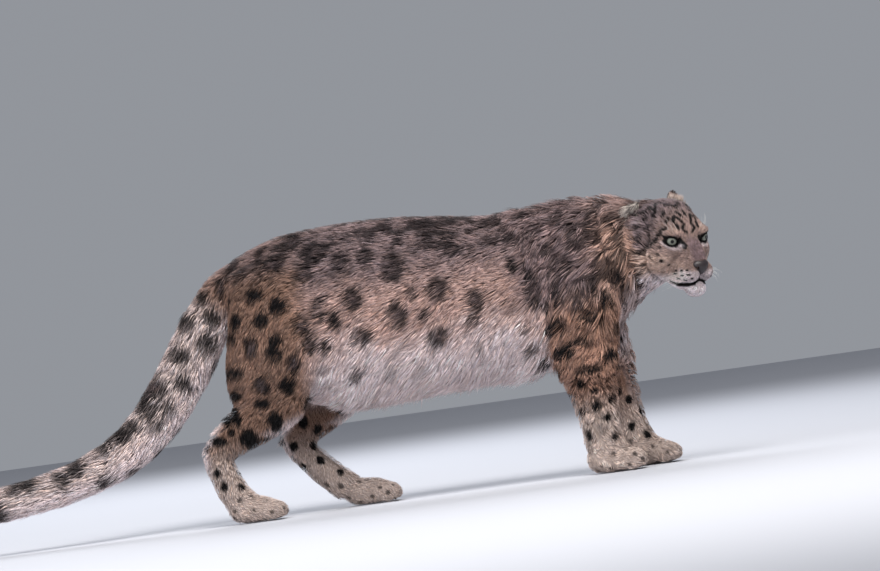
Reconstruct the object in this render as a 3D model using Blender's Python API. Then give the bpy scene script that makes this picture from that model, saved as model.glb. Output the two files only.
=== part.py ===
"""A life-size walking snow leopard as separate solids: torso, neck, head, ears, eyes, nose,
four legs with their paws, and a tail in three lengths.

Metres, +X to the animal's front, +Y to its left, +Z up, soles on the plane z = 0.
"""

import math
import random

import bmesh
import bpy
import numpy as np
from mathutils import Matrix, Vector, noise
from mathutils.bvhtree import BVHTree

MM = 0.001
GAP = 0.35 * MM
ANKLE = 68 * MM
BIG = 1.2

# The trunk from rump to chest: x, height of back, height of belly, half width, in millimetres.
TRUNK = [
    (-300, 512, 400, 34),
    (-282, 541, 345, 72),
    (-240, 562, 290, 102),
    (-170, 581, 240, 121),
    (-90, 588, 214, 128),
    (0, 590, 214, 131),
    (90, 585, 220, 133),
    (180, 574, 224, 134),
    (260, 563, 226, 131),
    (340, 566, 228, 124),
    (410, 571, 244, 114),
    (470, 571, 290, 100),
    (500, 560, 335, 78),
    (515, 530, 390, 40),
]

# The neck: x, y, height of nape, height of throat, half width.
NECK = [
    (380, 0, 572, 262, 104),
    (440, 0, 573, 278, 102),
    (500, -2, 569, 306, 98),
    (545, -8, 562, 342, 94),
    (590, -18, 552, 366, 88),
    (628, -34, 536, 385, 76),
    (650, -48, 512, 410, 50),
]

# Limb rows: x, z, reach to the front, reach to the back, half width, distance from the midline.
THIGH = [
    (-222, 528, 56, 54, 34, 52),
    (-222, 480, 98, 72, 56, 64),
    (-222, 405, 118, 84, 66, 72),
    (-222, 335, 112, 98, 63, 76),
    (-218, 275, 84, 104, 54, 78),
    (-212, 228, 48, 84, 42, 78),
]
SHANK = [
    (-176, 270, 36, 36, 36, 78),
    (-212, 246, 56, 60, 45, 78),
    (-262, 216, 52, 58, 43, 78),
    (-312, 188, 42, 46, 38, 77),
    (-350, 168, 35, 37, 33, 76),
    (-374, 156, 22, 22, 24, 75),
]
HIND_FOOT = [
    (-376, 174, 14, 18, 22, 75),
    (-368, 146, 30, 28, 30, 75),
    (-356, 108, 33, 30, 32, 74),
    (-342, 70, 35, 31, 34, 73),
    (-326, 38, 38, 32, 38, 72),
]
FORE_LEG = [
    (418, 545, 52, 52, 26, 44),
    (416, 480, 88, 80, 50, 58),
    (418, 400, 96, 88, 60, 68),
    (422, 330, 86, 84, 58, 72),
    (426, 278, 74, 74, 50, 72),
    (430, 225, 66, 66, 46, 71),
    (434, 165, 51, 51, 42, 70),
    (437, 110, 43, 42, 40, 69),
    (440, 70, 42, 41, 40, 69),
    (446, 38, 44, 40, 42, 69),
]

# Paws: length, width and height, and where the heel edge stands.
HIND_PAW = {"length": 126, "width": 96, "height": 56, "back_x": -356, "side": 72}
FORE_PAW = {"length": 130, "width": 108, "height": 60, "back_x": 398, "side": 69}
TOE_COUNT = 4
SINK = 6 * MM

# How far each leg's foot stands ahead of the right one of its pair, and where the swing begins.
HIND_STEP, HIND_PIVOT = 240, 470
FORE_STEP, FORE_PIVOT = 78, 420

# The tail's middle line and its half depth and half width: x, y, z, depth, width.
TAIL = [
    (-236, 0, 505, 34, 40),
    (-276, 0, 492, 50, 52),
    (-318, 0, 459, 52, 52),
    (-360, 0, 408, 53, 52),
    (-402, 0, 343, 54, 52),
    (-448, 0, 280, 53, 52),
    (-496, 0, 226, 50, 50),
    (-556, 0, 180, 46, 47),
    (-626, 2, 148, 42, 44),
    (-700, 6, 127, 39, 41),
    (-784, 12, 112, 37, 39),
    (-860, 20, 106, 36, 37),
    (-930, 30, 111, 35, 36),
    (-985, 40, 124, 32, 33),
    (-1022, 47, 138, 24, 25),
    (-1040, 51, 146, 9, 9),
]
TAIL_CUTS = [((-402, 343), -48), ((-546, 187), -30), ((-770, 113), -6)]
TAIL_ROOT = 2
TAIL_NAMES = ("tail_root", "tail_upper", "tail_lower", "tail_tip")
TAIL_CLEAR = 13
TAIL_SIDES = 16

# Where the inner face of a leg's block lies: its distance from the midline, and lean per height.
INNER_FACE = (0.006, 0.115)

# The head stands on the point midway between the eyes and is turned towards the right side.
EYES_AT = (671 * MM, -92 * MM, 461 * MM)
HEAD_YAW = math.radians(-56)
HEAD_PITCH = math.radians(18)
EYE_SIDE, EYE_RADIUS, LID = 38 * MM, 14.5 * MM, 3.2 * MM
EYE_BACK = 8 * MM
EYE_OUT = math.radians(24)
EYE_OPENING = (13.4 * MM, 9.4 * MM)
EYE_SLANT = math.radians(15)

# Head forms: name, middle (forward, side, up), half sizes (forward, side, up), pitch in degrees,
# and how softly each melts into the rest. A form with a side is made on both sides.
HEAD_FORMS = [
    ("cranium", (-76, 0, 5), (64, 61, 55), 0, 16),
    ("forehead", (-36, 0, 5), (38, 55, 41), 12, 16),
    ("brow", (-10, 33, 14), (17, 19, 9), 10, 10),
    ("cheekbone", (-11, 35, -24), (27, 21, 19), 0, 14),
    ("cheek", (-44, 42, -40), (44, 36, 42), 0, 22),
    ("throat", (-44, 0, -60), (54, 48, 44), 0, 16),
    ("bridge", (16, 0, -16), (45, 24, 17), 38, 12),
    ("muzzle", (12, 0, -52), (40, 36, 28), 6, 12),
    ("whisker pad", (33, 18, -62), (25, 20, 21), 4, 7),
    ("jaw", (2, 0, -86), (46, 36, 22), -4, 10),
    ("chin", (35, 0, -98), (20, 23, 17), 0, 8),
    ("ear root", (-92, 44, 30), (24, 18, 19), 0, 16),
]
NOSE_BOTTOM, NOSE_TOP = (52, 0, -62), (47, 0, -35)
NOSE_ROWS = [(0.0, 3, 5), (0.18, 7, 8), (0.4, 13, 11), (0.62, 18, 12), (0.84, 18, 11), (1.0, 13, 8)]
NOSTRIL = {"side": 10, "rise": 0.5, "radius": 3.2, "length": 15}
MOUTH_LINE = [(0, -77), (16, -81), (34, -85), (54, -88), (76, -89.5), (98, -88), (112, -84)]
MOUTH_MIDDLE, LIP_GROOVE = 4, 1.7

# Ears: where the root stands, which way the tip points and which way the cup opens.
EAR_SIZE = {"width": 27, "height": 50, "depth": 15, "wall": 4.5}
EARS = {
    "ear_R": {"root": (-90, 60, 36), "tip": (-0.47, 0.83, -0.26), "open": (0.75, 0.45, 0.3)},
    "ear_L": {"root": (-106, -48, 26), "tip": (-0.5, -0.12, 0.85), "open": (0.9, -0.35, 0.3)},
}

COLOURS = {
    "coat": (0.56, 0.49, 0.43),
    "pale coat": (0.72, 0.68, 0.64),
    "eye": (0.30, 0.36, 0.30),
    "nose": (0.09, 0.06, 0.06),
}
# The long coat as flat locks: share of a lock's length between roots, and its shape along the way.
LOCK_SPACING = 0.72
LOCK_STEPS = (0.0, 0.34, 0.74, 1.0)
LOCK_WIDTHS = (0.24, 0.31, 0.18, 0.0)
LOCK_RISE = (-9, 0.5, 9, 8)
LOCK_THICK = (8, 9, 5, 0)
DRAPE = 9 * MM
SEED = 11

BODY_VOXEL, BODY_SMOOTHING, BODY_TRIANGLES = 7 * MM, 14, 2000
HEAD_VOXEL, HEAD_TRIANGLES = 2.5 * MM, 1200
PAW_VOXEL, PAW_SMOOTHING, PAW_TRIANGLES = 2.6 * MM, 7, 330


def clear_scene():
    for obj in list(bpy.data.objects):
        bpy.data.objects.remove(obj, do_unlink=True)


def material(name):
    found = bpy.data.materials.get(name)
    if found:
        return found
    made = bpy.data.materials.new(name)
    made.use_nodes = True
    shader = made.node_tree.nodes["Principled BSDF"]
    shader.inputs["Base Color"].default_value = (*COLOURS[name], 1.0)
    shader.inputs["Roughness"].default_value = 0.12 if name == "eye" else 0.85
    return made


def add_object(name, mesh):
    obj = bpy.data.objects.new(name, mesh)
    bpy.context.scene.collection.objects.link(obj)
    return obj


def object_from(name, points, faces):
    mesh = bpy.data.meshes.new(name)
    mesh.from_pydata([tuple(p) for p in points], [], faces)
    mesh.validate()
    made = bmesh.new()
    made.from_mesh(mesh)
    bmesh.ops.triangulate(made, faces=made.faces)
    bmesh.ops.recalc_face_normals(made, faces=made.faces)
    made.to_mesh(mesh)
    made.free()
    return add_object(name, mesh)


def apply_modifiers(obj):
    bpy.context.view_layer.update()
    graph = bpy.context.evaluated_depsgraph_get()
    mesh = bpy.data.meshes.new_from_object(obj.evaluated_get(graph))
    old = obj.data
    obj.modifiers.clear()
    obj.data = mesh
    bpy.data.meshes.remove(old)
    return obj


def join(name, objects):
    """One object that holds the faces of all the given ones, which are removed."""
    made = bmesh.new()
    for obj in objects:
        obj.data.transform(obj.matrix_world)
        made.from_mesh(obj.data)
        bpy.data.objects.remove(obj, do_unlink=True)
    mesh = bpy.data.meshes.new(name)
    made.to_mesh(mesh)
    made.free()
    return add_object(name, mesh)


def boolean(obj, other, operation, solver="MANIFOLD", remove=True):
    """Joins, cuts or intersects obj with another object or a collection, and applies it."""
    modifier = obj.modifiers.new("boolean", "BOOLEAN")
    modifier.operation = operation
    modifier.solver = solver
    if isinstance(other, bpy.types.Collection):
        modifier.operand_type = "COLLECTION"
        modifier.collection = other
        members = list(other.objects)
    else:
        modifier.object = other
        members = [other]
    apply_modifiers(obj)
    if remove:
        for member in members:
            bpy.data.objects.remove(member, do_unlink=True)
    return obj


def copy_of(obj, name):
    return add_object(name, obj.data.copy())


def grown(obj, by=GAP):
    """A copy of obj whose surface stands a little further out."""
    made = copy_of(obj, obj.name + " grown")
    mesh = made.data
    points = [v.co + v.normal * by for v in mesh.vertices]
    for vertex, point in zip(mesh.vertices, points):
        vertex.co = point
    return made


def smooth_rows(rows, steps):
    """Rows between the given ones, on a Catmull-Rom curve through them."""
    rows = np.array(rows, float)
    padded = np.vstack([2 * rows[0] - rows[1], rows, 2 * rows[-1] - rows[-2]])
    made = []
    for i in range(len(rows) - 1):
        a, b, c, d = padded[i : i + 4]
        for t in np.arange(steps) / steps:
            made.append(
                0.5 * (2 * b + (c - a) * t + (2 * a - 5 * b + 4 * c - d) * t**2
                       + (3 * b - a - 3 * c + d) * t**3)
            )
    made.append(rows[-1])
    return np.array(made)


def tube(name, rings):
    """A closed skin over rings of equal size, with a fan over each end."""
    sides = len(rings[0])
    points = [p for ring in rings for p in ring]
    points += [np.mean(rings[0], axis=0), np.mean(rings[-1], axis=0)]
    faces = []
    for i in range(len(rings) - 1):
        for j in range(sides):
            k = (j + 1) % sides
            faces.append((i * sides + j, i * sides + k, (i + 1) * sides + k, (i + 1) * sides + j))
    first, last = len(points) - 2, len(points) - 1
    top = (len(rings) - 1) * sides
    for j in range(sides):
        k = (j + 1) % sides
        faces.append((first, k, j))
        faces.append((last, top + j, top + k))
    return object_from(name, points, faces)


def oval(middle, across, up, width, above, below, sides, taper=0.0):
    """A ring of points, oval, with its own reach above and below its middle, narrowed above."""
    ring = []
    for i in range(sides):
        angle = 2 * math.pi * i / sides
        rise = math.sin(angle)
        ring.append(
            np.array(middle)
            + np.array(across) * width * math.cos(angle) * (1 - taper * max(rise, 0))
            + np.array(up) * (above if rise > 0 else below) * rise
        )
    return ring


def trunk(sides=28, steps=3):
    rings = []
    for x, back, belly, width in smooth_rows(TRUNK, steps) * MM:
        middle = (back + belly) / 2 - 0.04 * (back - belly)
        rings.append(oval((x, 0, middle), (0, 1, 0), (0, 0, 1), width, back - middle,
                          middle - belly, sides))
    return tube("trunk", rings)


def neck(sides=26, steps=3):
    rings = []
    rows = smooth_rows(NECK, steps) * MM
    for i, (x, y, nape, throat, width) in enumerate(rows):
        ahead = rows[min(i + 1, len(rows) - 1)][:2] - rows[max(i - 1, 0)][:2]
        ahead /= np.linalg.norm(ahead)
        middle = (nape + throat) / 2
        rings.append(oval((x, y, middle), (-ahead[1], ahead[0], 0), (0, 0, 1), width,
                          nape - middle, middle - throat, sides, taper=0.28))
    return tube("neck", rings)


def limb(name, rows, side, step, pivot, sides=20, steps=3):
    """A limb length. side is -1 for the right and 1 for the left. step swings the foot forward."""
    rows = smooth_rows(rows, steps)
    shift = step * np.clip(1 - rows[:, 1] / pivot, 0, None)
    rows[:, 0] += shift
    rows *= MM
    rings = []
    for i, (x, z, front, back, width, apart) in enumerate(rows):
        ahead = rows[min(i + 1, len(rows) - 1)][:2] - rows[max(i - 1, 0)][:2]
        ahead /= np.linalg.norm(ahead)
        forward = (-ahead[1], 0, ahead[0])
        rings.append(oval((x, side * apart, z), (0, 1, 0), forward, width, front, back, sides))
    return tube(name, rings)


def ball(name, middle, size, rings=14, segments=20, pitch=0.0):
    """An ellipsoid, tipped nose down by pitch degrees. Sizes are half sizes in metres."""
    mesh = bpy.data.meshes.new(name)
    made = bmesh.new()
    bmesh.ops.create_uvsphere(made, u_segments=segments, v_segments=rings, radius=1)
    tilt = Matrix.Rotation(math.radians(pitch), 4, "Y")
    shape = Matrix.Translation(middle) @ tilt @ Matrix.Diagonal((*size, 1))
    bmesh.ops.transform(made, matrix=shape, verts=made.verts)
    made.to_mesh(mesh)
    made.free()
    return add_object(name, mesh)


def pad(name, size, side, step):
    """The pad of the foot, a little below the floor, where it is cut flat."""
    length, width, height = (size[k] * MM for k in ("length", "width", "height"))
    middle = ((size["back_x"] + step) * MM + 0.42 * length, side * size["side"] * MM,
              0.46 * height - SINK / 2)
    return ball(name, middle, (0.44 * length, 0.44 * width, 0.56 * height))


def toes(name, size, side, step):
    length, width, height = (size[k] * MM for k in ("length", "width", "height"))
    made = []
    for toe in range(TOE_COUNT):
        place = (toe - (TOE_COUNT - 1) / 2) / (TOE_COUNT - 1)
        reach = 0.66 + 0.13 * (1 - abs(place) * 0.9)
        middle = ((size["back_x"] + step) * MM + reach * length,
                  side * size["side"] * MM + place * 0.74 * width, 0.36 * height - SINK / 2)
        made.append(ball(f"{name} toe {toe}", middle,
                         (0.25 * length, 0.15 * width, 0.42 * height)))
    return made


def legs():
    """The four legs without their toes."""
    pieces = []
    for side, step in ((-1, 0), (1, 1)):
        hind, fore = HIND_STEP * step, FORE_STEP * step
        for name, rows in (("thigh", THIGH), ("shank", SHANK), ("hind foot", HIND_FOOT)):
            pieces.append(limb(name, rows, side, hind, HIND_PIVOT))
        pieces.append(limb("fore leg", FORE_LEG, side, fore, FORE_PIVOT))
        pieces.append(pad("hind paw", HIND_PAW, side, hind))
        pieces.append(pad("fore paw", FORE_PAW, side, fore))
    return pieces


def foot(name, rows, size, side, step, pivot):
    """One paw from the ankle down, flat where it stands."""
    pieces = [limb(name, rows, side, step, pivot), pad(name, size, side, step)]
    pieces += toes(name, size, side, step)
    made = fuse(join(name, pieces), PAW_VOXEL, PAW_SMOOTHING, PAW_TRIANGLES)
    boolean(made, box((-BIG, -BIG, 0), (BIG, BIG, ANKLE)), "INTERSECT")
    return keep_largest(made)


def paws():
    made = []
    for side, suffix, step in ((-1, "R", 0), (1, "L", 1)):
        made.append(foot(f"hindpaw_{suffix}", HIND_FOOT[2:], HIND_PAW, side, HIND_STEP * step,
                         HIND_PIVOT))
        made.append(foot(f"forepaw_{suffix}", FORE_LEG[-3:], FORE_PAW, side, FORE_STEP * step,
                         FORE_PIVOT))
    return made


def thinned(obj, triangles):
    """The same skin with about that many triangles."""
    count = sum(len(p.vertices) - 2 for p in obj.data.polygons)
    thin = obj.modifiers.new("thin", "DECIMATE")
    thin.ratio = min(1.0, triangles / count)
    return apply_modifiers(obj)


def fuse(obj, voxel, smoothing, triangles):
    """Melts overlapping forms into one smooth skin of about that many triangles."""
    remesh = obj.modifiers.new("remesh", "REMESH")
    remesh.mode = "VOXEL"
    remesh.voxel_size = voxel
    smooth = obj.modifiers.new("smooth", "SMOOTH")
    smooth.factor = 0.5
    smooth.iterations = smoothing
    return thinned(apply_modifiers(obj), triangles)


def head_place():
    """The matrix from the head's own forward, right and up to the world."""
    turn = Matrix.Rotation(HEAD_YAW, 4, "Z") @ Matrix.Rotation(HEAD_PITCH, 4, "Y")
    mirror = Matrix.Diagonal((1, -1, 1, 1))
    return Matrix.Translation(EYES_AT) @ turn @ mirror


def head_point(point):
    return head_place() @ (Vector(point) * MM)


def place_on_head(obj):
    """Moves a form from the head's own frame to the world. The frame is mirrored, so faces turn."""
    obj.data.transform(head_place())
    obj.data.flip_normals()
    return obj


def distance_to_form(points, middle, size, pitch):
    """How far points lie outside an ellipsoid, nearly, in millimetres."""
    turn = math.radians(pitch)
    off = points - np.array(middle, float)
    along = off[:, 0] * math.cos(turn) - off[:, 2] * math.sin(turn)
    upward = off[:, 0] * math.sin(turn) + off[:, 2] * math.cos(turn)
    local = np.stack([along, off[:, 1], upward], axis=1)
    size = np.array(size, float)
    one = np.linalg.norm(local / size, axis=1)
    two = np.linalg.norm(local / size**2, axis=1)
    return one * (one - 1) / np.maximum(two, 1e-6)


def melt(a, b, soft):
    """The smaller of two distances, with a soft fillet between them."""
    share = np.clip(0.5 + 0.5 * (b - a) / soft, 0, 1)
    return b * (1 - share) + a * share - soft * share * (1 - share)


def head_distance(points):
    """How far points in the head's own frame lie outside its skin, in millimetres."""
    folded = points * (1, 0, 1) + np.abs(points) * (0, 1, 0)
    found = None
    for _, middle, size, pitch, soft in HEAD_FORMS:
        form = distance_to_form(folded, middle, size, pitch)
        found = form if found is None else melt(found, form, soft)
    mound = np.array((-EYE_BACK, EYE_SIDE, 0)) / MM
    ball_form = np.linalg.norm(folded - mound, axis=1) - (EYE_RADIUS + LID) / MM + 1.2
    return melt(found, ball_form, 6)


def settle(points, steps=6):
    """Moves points onto the head's skin."""
    points = np.array(points, float)
    for _ in range(steps):
        here = head_distance(points)
        slope = np.stack(
            [(head_distance(points + d) - here) / 0.2 for d in np.eye(3) * 0.2], axis=1
        )
        points -= here[:, None] * slope / np.maximum((slope**2).sum(axis=1), 0.2)[:, None]
    return points


def skin_point(start, direction):
    """Where a line out of the head meets its skin."""
    start, direction = np.array(start, float), np.array(direction, float)
    near, far = 0.0, 130.0
    for _ in range(24):
        middle = (near + far) / 2
        if head_distance((start + direction * middle)[None])[0] > 0:
            far = middle
        else:
            near = middle
    return start + direction * near


def mouth_line(side):
    """The line between the lips, from the middle of the muzzle to the corner of the mouth."""
    line = []
    for degrees, up in MOUTH_LINE:
        angle = math.radians(degrees)
        way = (math.cos(angle), side * math.sin(angle), 0)
        line.append(skin_point((MOUTH_MIDDLE, 0, up), way))
    return line


def head_flesh():
    """The head's skin: ellipsoids melted together, from a coarse shell moved onto the surface."""
    pieces = []
    for name, middle, size, pitch, _ in HEAD_FORMS:
        for side in (1, -1) if middle[1] else (1,):
            at = (middle[0] * MM, side * middle[1] * MM, middle[2] * MM)
            pieces.append(ball(name, at, tuple(s * MM for s in size), pitch=pitch))
    shell = join("head", pieces)
    remesh = shell.modifiers.new("remesh", "REMESH")
    remesh.mode = "VOXEL"
    remesh.voxel_size = HEAD_VOXEL
    smooth = shell.modifiers.new("smooth", "SMOOTH")
    smooth.iterations = 10
    apply_modifiers(shell)
    found = settle([v.co / MM for v in shell.data.vertices]) * MM
    for vertex, point in zip(shell.data.vertices, found):
        vertex.co = point
    return thinned(shell, HEAD_TRIANGLES)


def cord(name, points, radius, sides=8):
    """A round bar along a smooth line through points. Millimetres."""
    rows = smooth_rows(points, 2) * MM
    rings = []
    for i, middle in enumerate(rows):
        ahead = Vector(rows[min(i + 1, len(rows) - 1)] - rows[max(i - 1, 0)]).normalized()
        across = ahead.cross(Vector((0, 0, 1))).normalized()
        rings.append(oval(middle, across, across.cross(ahead), radius * MM, radius * MM,
                          radius * MM, sides))
    return tube(name, rings)


def eye_turn(side):
    """The frame of one eye: x looks out of it, y runs to the outer corner, z up the lid."""
    out = Matrix.Rotation(side * EYE_OUT, 4, "Z")
    slant = Matrix.Rotation(side * EYE_SLANT, 4, "X")
    mirror = Matrix.Diagonal((1, side, 1, 1))
    return Matrix.Translation((-EYE_BACK, side * EYE_SIDE, 0)) @ out @ slant @ mirror


def eye_opening(side, points=14):
    """An almond bar that opens the lids, from inside the eyeball outwards."""
    half, rise = EYE_OPENING
    outline = []
    for i in range(points):
        angle = 2 * math.pi * i / points
        outline.append((half * math.cos(angle), rise * math.sin(angle) * abs(math.sin(angle)) ** 0.35))
    near, far = 0.3 * EYE_RADIUS, 3 * EYE_RADIUS
    rings = [[np.array((reach, y, z)) for y, z in outline] for reach in (near, far)]
    made = tube("opening", rings)
    made.data.transform(eye_turn(side))
    if side < 0:
        made.data.flip_normals()
    return made


def head():
    made = head_flesh()
    for side in (1, -1):
        at = (-EYE_BACK, side * EYE_SIDE, 0)
        boolean(made, ball("lids", at, (EYE_RADIUS + LID,) * 3, 8, 12), "UNION")
        boolean(made, eye_opening(side), "DIFFERENCE")
        boolean(made, ball("socket", at, (EYE_RADIUS + GAP,) * 3, 8, 12), "DIFFERENCE")
        boolean(made, cord("groove", mouth_line(side), LIP_GROOVE, sides=6), "DIFFERENCE")
    return place_on_head(made)


def eyes():
    made = []
    for name, side in (("eye_R", 1), ("eye_L", -1)):
        eye = ball(name, (-EYE_BACK, side * EYE_SIDE, 0), (EYE_RADIUS,) * 3, 8, 12)
        made.append(place_on_head(eye))
    return made


def nose(nostrils=True):
    """The nose leather: a rounded wedge, broad above, with its two nostrils."""
    bottom, top = np.array(NOSE_BOTTOM, float), np.array(NOSE_TOP, float)
    rings = []
    for share, width, depth in smooth_rows(NOSE_ROWS, 1):
        middle = (bottom + (top - bottom) * share) * MM
        rings.append(oval(middle, (0, 1, 0), (1, 0, 0), width * MM, depth * MM, 8 * MM, 12))
    made = tube("nose", rings)
    for side in (1, -1) if nostrils else ():
        start = bottom + (top - bottom) * NOSTRIL["rise"]
        bore = [(start[0] + NOSTRIL["length"] * t, side * (NOSTRIL["side"] + 5 * t), start[2] + t)
                for t in (0, 0.5, 1)]
        boolean(made, cord("nostril", bore, NOSTRIL["radius"], sides=6), "DIFFERENCE")
    return place_on_head(made)


def ear(name, root, tip, open_to):
    """A rounded cup: a bent plate whose rim runs from one side of the root over the tip."""
    up = Vector(tip).normalized()
    out = Vector(open_to).normalized()
    out = (out - up * out.dot(up)).normalized()
    across = up.cross(out)
    width, height, depth, wall = (EAR_SIZE[k] * MM for k in ("width", "height", "depth", "wall"))
    rows, columns = 7, 9
    layers = []
    for layer in (0, 1):
        points = []
        for i in range(rows):
            t = i / (rows - 1)
            half = width * math.sqrt(max(0.0, 1 - (0.15 + 0.85 * t) ** 2.6)) if t < 1 else 0.12 * width
            for j in range(columns):
                s = 2 * j / (columns - 1) - 1
                bowl = depth * (s * s - 1) * (1 - 0.55 * t) * (half / width)
                thick = wall * (0.5 if layer else -0.5)
                shift = out * (bowl + thick) + across * (s * half * (1 if layer else 1.0))
                points.append(Vector(root) * MM + up * height * (t * 1.12 - 0.12) + shift)
        layers.append(points)
    count = rows * columns
    faces = []
    for i in range(rows - 1):
        for j in range(columns - 1):
            a = i * columns + j
            quad = (a, a + 1, a + columns + 1, a + columns)
            faces.append(quad)
            faces.append(tuple(count + k for k in reversed(quad)))
    rim = (
        [i * columns for i in range(rows)]
        + [(rows - 1) * columns + j for j in range(1, columns)]
        + [i * columns + columns - 1 for i in range(rows - 2, -1, -1)]
        + [j for j in range(columns - 2, 0, -1)]
    )
    for k, a in enumerate(rim):
        b = rim[(k + 1) % len(rim)]
        faces.append((a, b, b + count, a + count))
    made = object_from(name, layers[0] + layers[1], faces)
    made.data.transform(head_place())
    fix = bmesh.new()
    fix.from_mesh(made.data)
    bmesh.ops.recalc_face_normals(fix, faces=fix.faces)
    fix.to_mesh(made.data)
    fix.free()
    return made


def tail():
    rings = []
    rows = smooth_rows(TAIL, 2) * MM
    for i, (x, y, z, depth, width) in enumerate(rows):
        ahead = Vector(rows[min(i + 1, len(rows) - 1)][:3] - rows[max(i - 1, 0)][:3]).normalized()
        across = ahead.cross(Vector((0, 0, 1))).normalized()
        rings.append(oval((x, y, z), across, across.cross(ahead), width, depth, depth, TAIL_SIDES))
    return tube("tail", rings)


def box(low, high, place=None):
    """A block between two corners, in the world or in the frame that place gives."""
    mesh = bpy.data.meshes.new("region")
    made = bmesh.new()
    bmesh.ops.create_cube(made, size=1)
    middle = (Vector(low) + Vector(high)) / 2
    size = Vector(high) - Vector(low)
    shape = Matrix.Translation(middle) @ Matrix.Diagonal((*size, 1))
    bmesh.ops.transform(made, matrix=(place or Matrix()) @ shape, verts=made.verts)
    bmesh.ops.recalc_face_normals(made, faces=made.faces)
    made.to_mesh(mesh)
    made.free()
    return add_object("region", mesh)


def arch(low_x, high_x, spring, top, side, grow=0.0, points=14):
    """A door-shaped block that holds one leg: a rounded top, and an inner face that leans out."""
    half, middle = (high_x - low_x) / 2 + grow, (high_x + low_x) / 2
    outline = [(middle + half, -0.1)]
    for i in range(points + 1):
        angle = math.pi * i / points
        outline.append((middle + half * math.cos(angle),
                        spring + (top - spring + grow) * math.sin(angle)))
    outline.append((middle - half, -0.1))
    inner = [np.array((x, side * (INNER_FACE[0] + INNER_FACE[1] * z - grow), z)) for x, z in outline]
    outer = [np.array((x, side * 0.4, z)) for x, z in outline]
    return tube("region", [inner, outer])


def keep_largest(obj):
    """Drops loose scraps, so that one closed surface is left."""
    made = bmesh.new()
    made.from_mesh(obj.data)
    seen, best = set(), []
    made.verts.ensure_lookup_table()
    for start in made.verts:
        if start.index in seen:
            continue
        group, stack = [], [start]
        seen.add(start.index)
        while stack:
            vertex = stack.pop()
            group.append(vertex)
            for edge in vertex.link_edges:
                other = edge.other_vert(vertex)
                if other.index not in seen:
                    seen.add(other.index)
                    stack.append(other)
        if len(group) > len(best):
            best = group
    kept = set(best)
    bmesh.ops.delete(made, geom=[v for v in made.verts if v not in kept], context="VERTS")
    made.to_mesh(obj.data)
    made.free()
    return obj


def part_off(whole, name, region, wider):
    """Cuts the region out of the whole as its own node, with a thin gap between them."""
    node = copy_of(whole, name)
    boolean(node, region, "INTERSECT")
    boolean(whole, wider, "DIFFERENCE")
    return keep_largest(node)


def leg_regions():
    """Door shapes round the four legs: name, low x, high x, spring, top, side."""
    return [
        ("hindleg_R", -0.45, -0.098, 0.31, 0.515, -1),
        ("hindleg_L", -0.40, 0.10, 0.29, 0.50, 1),
        ("foreleg_R", 0.338, 0.515, 0.36, 0.515, -1),
        ("foreleg_L", 0.338, 0.60, 0.20, 0.50, 1),
    ]


def shank_regions():
    """Blocks under a slanting plane from knee to heel: name, place, side."""
    found = []
    for suffix, side, x, z, lean in (("R", -1, -0.270, 0.232, 23), ("L", 1, -0.150, 0.231, 19)):
        place = Matrix.Translation((x, 0, z)) @ Matrix.Rotation(math.radians(lean), 4, "Y")
        found.append((f"shank_{suffix}", place, side))
    return found


def tail_region(grow=0.0):
    """A tube round the tail, from its root to past its tip."""
    rings = []
    rows = smooth_rows(TAIL, 2) * MM
    for i in range(2 * TAIL_ROOT, len(rows)):
        x, y, z, depth, width = rows[i]
        ahead = Vector(rows[min(i + 1, len(rows) - 1)][:3] - rows[i - 1][:3]).normalized()
        across = ahead.cross(Vector((0, 0, 1))).normalized()
        room = (TAIL_CLEAR + 0.22 * max(0, i - 10)) * MM + grow
        middle = np.array((x, y, z)) - np.array(ahead) * (grow if i == 2 * TAIL_ROOT else 0)
        rings.append(oval(middle, across, across.cross(ahead), width + room, depth + room,
                          depth + room, 20))
    rings.append([p + np.array(ahead) * 0.1 for p in rings[-1]])
    return tube("region", rings)


def half_space(x, z, lean, grow=0.0):
    """Everything ahead of a plane across the animal that leans by some degrees."""
    place = Matrix.Translation((x, 0, z)) @ Matrix.Rotation(math.radians(lean), 4, "Y")
    return box((-grow, -0.4, -0.7), (0.7, 0.4, 0.7), place)


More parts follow.
